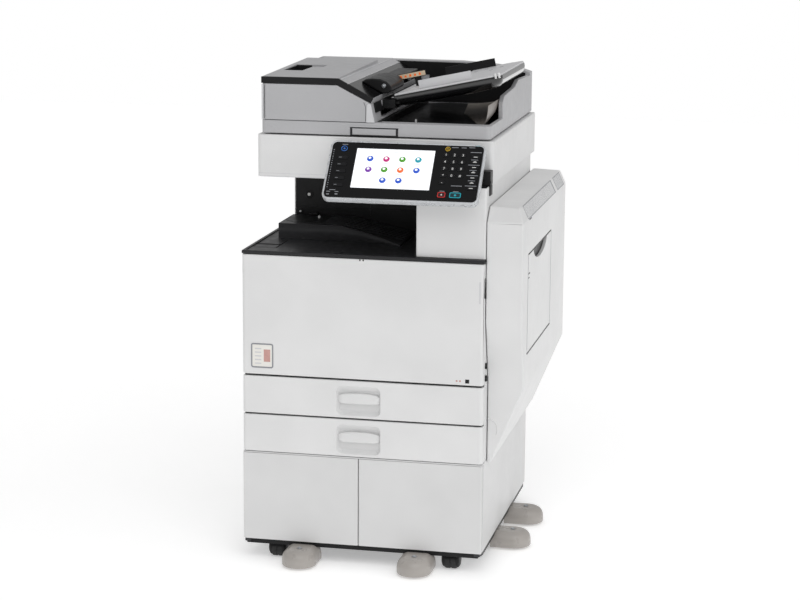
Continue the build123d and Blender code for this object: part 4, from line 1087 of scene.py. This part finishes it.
class COPIER_OT_panel(Operator):
    """Operation panel: housing, fascia and screen with its menu"""
    bl_idname = "copier.panel"
    bl_label = "Operation panel"

    def execute(self, context):
        casing("panel_housing", "bezel_silver", 1.6)
        casing("panel_fascia", "gloss_black", 0.3)
        dress("screen_glass", "screen")
        icons = {
            "icon_blue": ((-84.9, 33.1), (29.3, 4.1), (-47, -26.2), (-9, -25.7)),
            "icon_magenta": ((-46.2, 33.1),), "icon_green": ((-8.1, 33.7), (-47.1, 3.7)),
            "icon_teal": ((29.8, 33.8),), "icon_purple": ((-84.9, 2.7),),
            "icon_orange": ((-8.9, 3.7),),
        }
        glyphs, labels = bmesh.new(), bmesh.new()
        for name, places in icons.items():
            bm = bmesh.new()
            for x, u in places:
                turned(bm, (x, u, -0.62), (0, 0, 1),
                       [(0, 7.9), (0.3, 7.6), (0.55, 6.4), (0.7, 4), (0.75, 0)], 28)
                turned(glyphs, (x - 0.6, u + 1.8, -0.1), (0, 0, 1),
                       [(0, 3.6), (0.2, 3.2), (0.3, 0)], 16)
                wide = 13 if u > 20 else 19
                pad(labels, (x - wide / 2, x + wide / 2), (u - 13.4, u - 11.6), (-0.62, -0.5),
                    0.6, 0)
            add_piece(name + "_buttons", to_mesh(bm, PANEL_FACE), "screen_glass", "panel",
                      material=name)
        pad(labels, (-31, -19), (51, 53), (-0.62, -0.5), 0.8, 0)
        add_piece("menu_glyphs", to_mesh(glyphs, PANEL_FACE), "screen_glass", "panel")
        add_piece("menu_labels", to_mesh(labels, PANEL_FACE), "screen_glass", "panel",
                  material="icon_grey")
        ring = [(x, u, -0.35) for x, u in rounded_outline((-121, 67.6), (-50.4, 62.4), 2)]
        beads("screen_frame", "black_plastic", "panel", [ring + ring[:1]], 0.7, PANEL_FACE)
        self.print_marks()
        return {"FINISHED"}

    @staticmethod
    def print_marks():
        """Generic print on the fascia: short bars, lamps and a strip of ticks."""
        bm = bmesh.new()
        for i in range(18):
            u = 56 - 6.2 * i
            pad(bm, (-176, -173.6), (u - (1.8 if i % 3 else 2.6), u), (-0.32, -0.2), 0.4, 0)
        for x, u, wide in ((-150.4, 70.5, 14), (95.5, 76.6, 10), (112, 72, 16), (133, 72, 12),
                           (152, 73, 14), (163, 60, 26), (97.3, -50.4, 12), (129.5, -50.4, 13),
                           (129, -34.6, 26), (-170.2, -62.4, 9), (-150.3, -62.4, 9),
                           (-161, -57.6, 14)):
            pad(bm, (x - wide / 2, x + wide / 2), (u - 0.9, u + 0.9), (-0.32, -0.2), 0.7, 0)
        for row in range(6):
            u, wide = 39.2 - 14.5 * row, 10 + 5 * (row % 2)
            pad(bm, (163.5 - wide, 163.5 + wide - 3), (u - 0.8, u + 0.8), (-0.32, -0.2), 0.6, 0)
        for x, u in ((-170.2, -69.9), (-150.3, -69)):
            pad(bm, (x - 3.4, x + 3.4), (u - 1.6, u + 1.6), (-0.32, -0.1), 1.2, 0)
        add_piece("fascia_print", to_mesh(bm, PANEL_FACE), "gloss_black", "panel",
                  material="printed_grey")
        build("energy_lamp", "gloss_black", "panel",
              (pad, (160, 171), (78.2, 80.2), (-0.32, -0.1), 0.9, 0),
              place=PANEL_FACE, material="ring_cyan")


class COPIER_OT_keys(Operator):
    """Keys of the operation panel with their print"""
    bl_idname = "copier.keys"
    bl_label = "Keys"

    def execute(self, context):
        for node, slot in (("numeric_keys", "key_grey"), ("side_keys", "key_grey"),
                           ("function_keys", "key_grey"), ("home_key", "key_grey"),
                           ("reset_key", "key_grey"), ("start_key", "key_start"),
                           ("stop_key", "key_stop")):
            casing(node, slot, 0.5)
        self.rings()
        self.digits()
        bm = bmesh.new()
        for row in range(7):
            u = 46.5 - 14.5 * row
            pad(bm, (159, 168), (u - 0.8, u + 0.8), (0.75, 0.9), 0.6, 0)
            if row % 2:
                pad(bm, (161, 166), (u + 1.8, u + 2.8), (0.75, 0.9), 0.4, 0)
        add_piece("side_key_print", to_mesh(bm, PANEL_FACE), "key_grey", "side_keypad",
                  material="printed_white")
        build("function_key_print", "key_grey", "function_keypad", *(
            (pad, (-160, -153), (u - 0.6, u + 0.6), (0.75, 0.88), 0.5, 0)
            for u in (33.5 - 19.2 * row for row in range(5))),
            place=PANEL_FACE, material="printed_grey")
        return {"FINISHED"}

    @staticmethod
    def rings():
        """Coloured rings round the home, reset, start and stop marks, each on its key."""
        def ring(x, u, radius):
            return circle((x, u, 0.8), radius, 32)

        def frame_path(x, u, wide, high):
            path = [(px, pu, 0.8) for px, pu in rounded_outline(
                (x - wide / 2, x + wide / 2), (u - high / 2, u + high / 2), 2.6)]
            return path + path[:1]

        for name, slot, body, path, radius in (
                ("home_ring", "ring_blue", "home_button", ring(-150.5, 58.5, 6.9), 0.8),
                ("reset_ring", "ring_yellow", "reset_button", ring(95.5, 66.5, 5.2), 0.8),
                ("start_ring", "ring_cyan", "start_button", frame_path(129.5, -61, 25, 13), 0.9),
                ("stop_ring", "ring_red", "stop_button", frame_path(97.3, -61, 17, 13), 0.9)):
            beads(name, "key_grey", body, [path], radius, PANEL_FACE, material=slot)
        for name, body, slot, x, u, size in (
                ("home_mark", "home_button", "ring_blue", -150.5, 58.5, 3.0),
                ("start_mark", "start_button", "ring_cyan", 129.5, -61, 3.2),
                ("stop_mark", "stop_button", "printed_white", 97.3, -61, 2.2),
                ("reset_mark", "reset_button", "ring_yellow", 95.5, 66.5, 2.0)):
            build(name, "key_grey", body, (
                prism, [(x, u + size, 0.7), (x - size, u, 0.7), (x, u - size, 0.7),
                        (x + size, u, 0.7)], (0, 0, 0.4), 0), place=PANEL_FACE, material=slot)

    @staticmethod
    def digits():
        """The numbers on the numeric keys, in a plain built-in type."""
        bm = bmesh.new()
        marks = "123456789*0#-"
        places = [(93.5 + 20 * (i % 3), 50 - 19.2 * (i // 3)) for i in range(12)]
        for mark, (x, u) in zip(marks, places + [(93.5, -26.8)]):
            text = bpy.data.curves.new("digit", "FONT")
            text.body, text.size, text.extrude = mark, 9.5, 0.1
            text.align_x, text.align_y, text.resolution_u = "CENTER", "CENTER", 3
            holder = bpy.data.objects.new("digit", text)
            bpy.context.scene.collection.objects.link(holder)
            shape = bpy.data.meshes.new_from_object(
                holder.evaluated_get(bpy.context.evaluated_depsgraph_get()))
            shape.transform(Matrix.Translation((x, u, 0.9)))
            bm.from_mesh(shape)
            bpy.data.objects.remove(holder)
        add_piece("key_digits", to_mesh(bm, PANEL_FACE), "key_grey", "numeric_keypad",
                  material="printed_white")


CAMERA_LENS = 101.009376
CAMERA_PLACE = (1181.63487, -5051.26597, 1702.29996)
CAMERA_YAW, CAMERA_PITCH, CAMERA_ROLL = radians(12.16736), radians(11.3971), radians(0.35518)
FLOOR_REACH = 9
# Each light: its direction in metres, its strength and how many degrees wide it looks.
LIGHTS = (("key light", (0.8, -2.8, 3.4), 0.82, 50), ("side light", (3.6, -1.0, 2.0), 0.42, 60))


class COPIER_OT_stage(Operator):
    """Floor, lights and camera"""
    bl_idname = "copier.stage"
    bl_label = "Stage"

    def execute(self, context):
        scene = context.scene
        mesh = bpy.data.meshes.new("floor")
        mesh.from_pydata([(x * FLOOR_REACH, y * FLOOR_REACH, 0)
                          for x, y in ((-1, -1), (1, -1), (1, 1), (-1, 1))], [], [(0, 1, 2, 3)])
        floor = bpy.data.objects.new("floor", mesh)
        scene.collection.objects.link(floor)
        mesh.materials.append(finish("studio_floor", linear("#f6f6f6"), 0.6, 6, 0.01, 0.004,
                                     Emission_Color=(1, 1, 1, 1), Emission_Strength=0.36))
        world = bpy.data.worlds.new("studio")
        scene.world = world
        world.use_nodes = True
        # The studio's white walls light the copier evenly. The camera sees them pure white.
        tree = world.node_tree
        seen = add_node(tree, "ShaderNodeLightPath").outputs["Is Camera Ray"]
        strength = add_node(tree, "ShaderNodeMapRange", {"Value": seen},
                            {"To Min": 0.47, "To Max": 1.0})
        tree.nodes["Background"].inputs["Color"].default_value = (1, 1, 1, 1)
        tree.links.new(strength.outputs["Result"], tree.nodes["Background"].inputs["Strength"])
        scene.view_settings.view_transform = "Standard"
        for name, place, power, spread in LIGHTS:
            data = bpy.data.lights.new(name, "SUN")
            data.energy, data.angle = power, radians(spread)
            light = bpy.data.objects.new(name, data)
            light.rotation_euler = (-Vector(place)).to_track_quat("-Z", "Y").to_euler()
            scene.collection.objects.link(light)
        data = bpy.data.cameras.new("camera")
        data.sensor_fit, data.sensor_width, data.lens = "HORIZONTAL", 36.0, CAMERA_LENS
        data.clip_end = 60
        camera = bpy.data.objects.new("camera", data)
        yaw, pitch, roll = CAMERA_YAW, CAMERA_PITCH, CAMERA_ROLL
        ahead = Vector((-sin(yaw) * cos(pitch), cos(yaw) * cos(pitch), -sin(pitch)))
        level = Vector((cos(yaw), sin(yaw), 0))
        above = level.cross(ahead)
        right = level * cos(roll) + above * sin(roll)
        above = above * cos(roll) - level * sin(roll)
        place = DATUM @ Vector(CAMERA_PLACE)
        turn = Matrix((right, above, -ahead)).transposed().to_4x4()
        camera.matrix_world = Matrix.Translation(place) @ turn
        scene.collection.objects.link(camera)
        scene.camera = camera
        return {"FINISHED"}


OPERATORS = (
    COPIER_OT_cabinet, COPIER_OT_feet, COPIER_OT_trays, COPIER_OT_covers, COPIER_OT_front_door,
    COPIER_OT_exit_space, COPIER_OT_engine, COPIER_OT_paper_path, COPIER_OT_scanner,
    COPIER_OT_feeder, COPIER_OT_input_table, COPIER_OT_panel, COPIER_OT_keys, COPIER_OT_stage)


class COPIER_PT_sidebar(Panel):
    """Lists the copier's sizes, colours and pieces"""
    bl_idname = "COPIER_PT_sidebar"
    bl_label = "Copier"
    bl_space_type = "VIEW_3D"
    bl_region_type = "UI"
    bl_category = "Copier"

    def draw(self, context):
        for group in (context.scene.copier_sizes, context.scene.copier_colours):
            for name in group.__annotations__:
                self.layout.prop(group, name)
        for operator in OPERATORS:
            self.layout.operator(operator.bl_idname)


CLASSES = (CopierSizes, CopierColours, *OPERATORS, COPIER_PT_sidebar)


def register():
    for item in CLASSES:
        bpy.utils.register_class(item)
    bpy.types.Scene.copier_sizes = PointerProperty(type=CopierSizes)
    bpy.types.Scene.copier_colours = PointerProperty(type=CopierColours)


def unregister():
    del bpy.types.Scene.copier_colours
    del bpy.types.Scene.copier_sizes
    for item in reversed(CLASSES):
        bpy.utils.unregister_class(item)


def main():
    """Registers the add-on, makes the finishes and builds every piece in order."""
    register()
    make_finishes(bpy.context.scene.copier_colours)
    for operator in OPERATORS:
        group, name = operator.bl_idname.split(".")
        getattr(getattr(bpy.ops, group), name)()


if __name__ == "__main__":
    main()
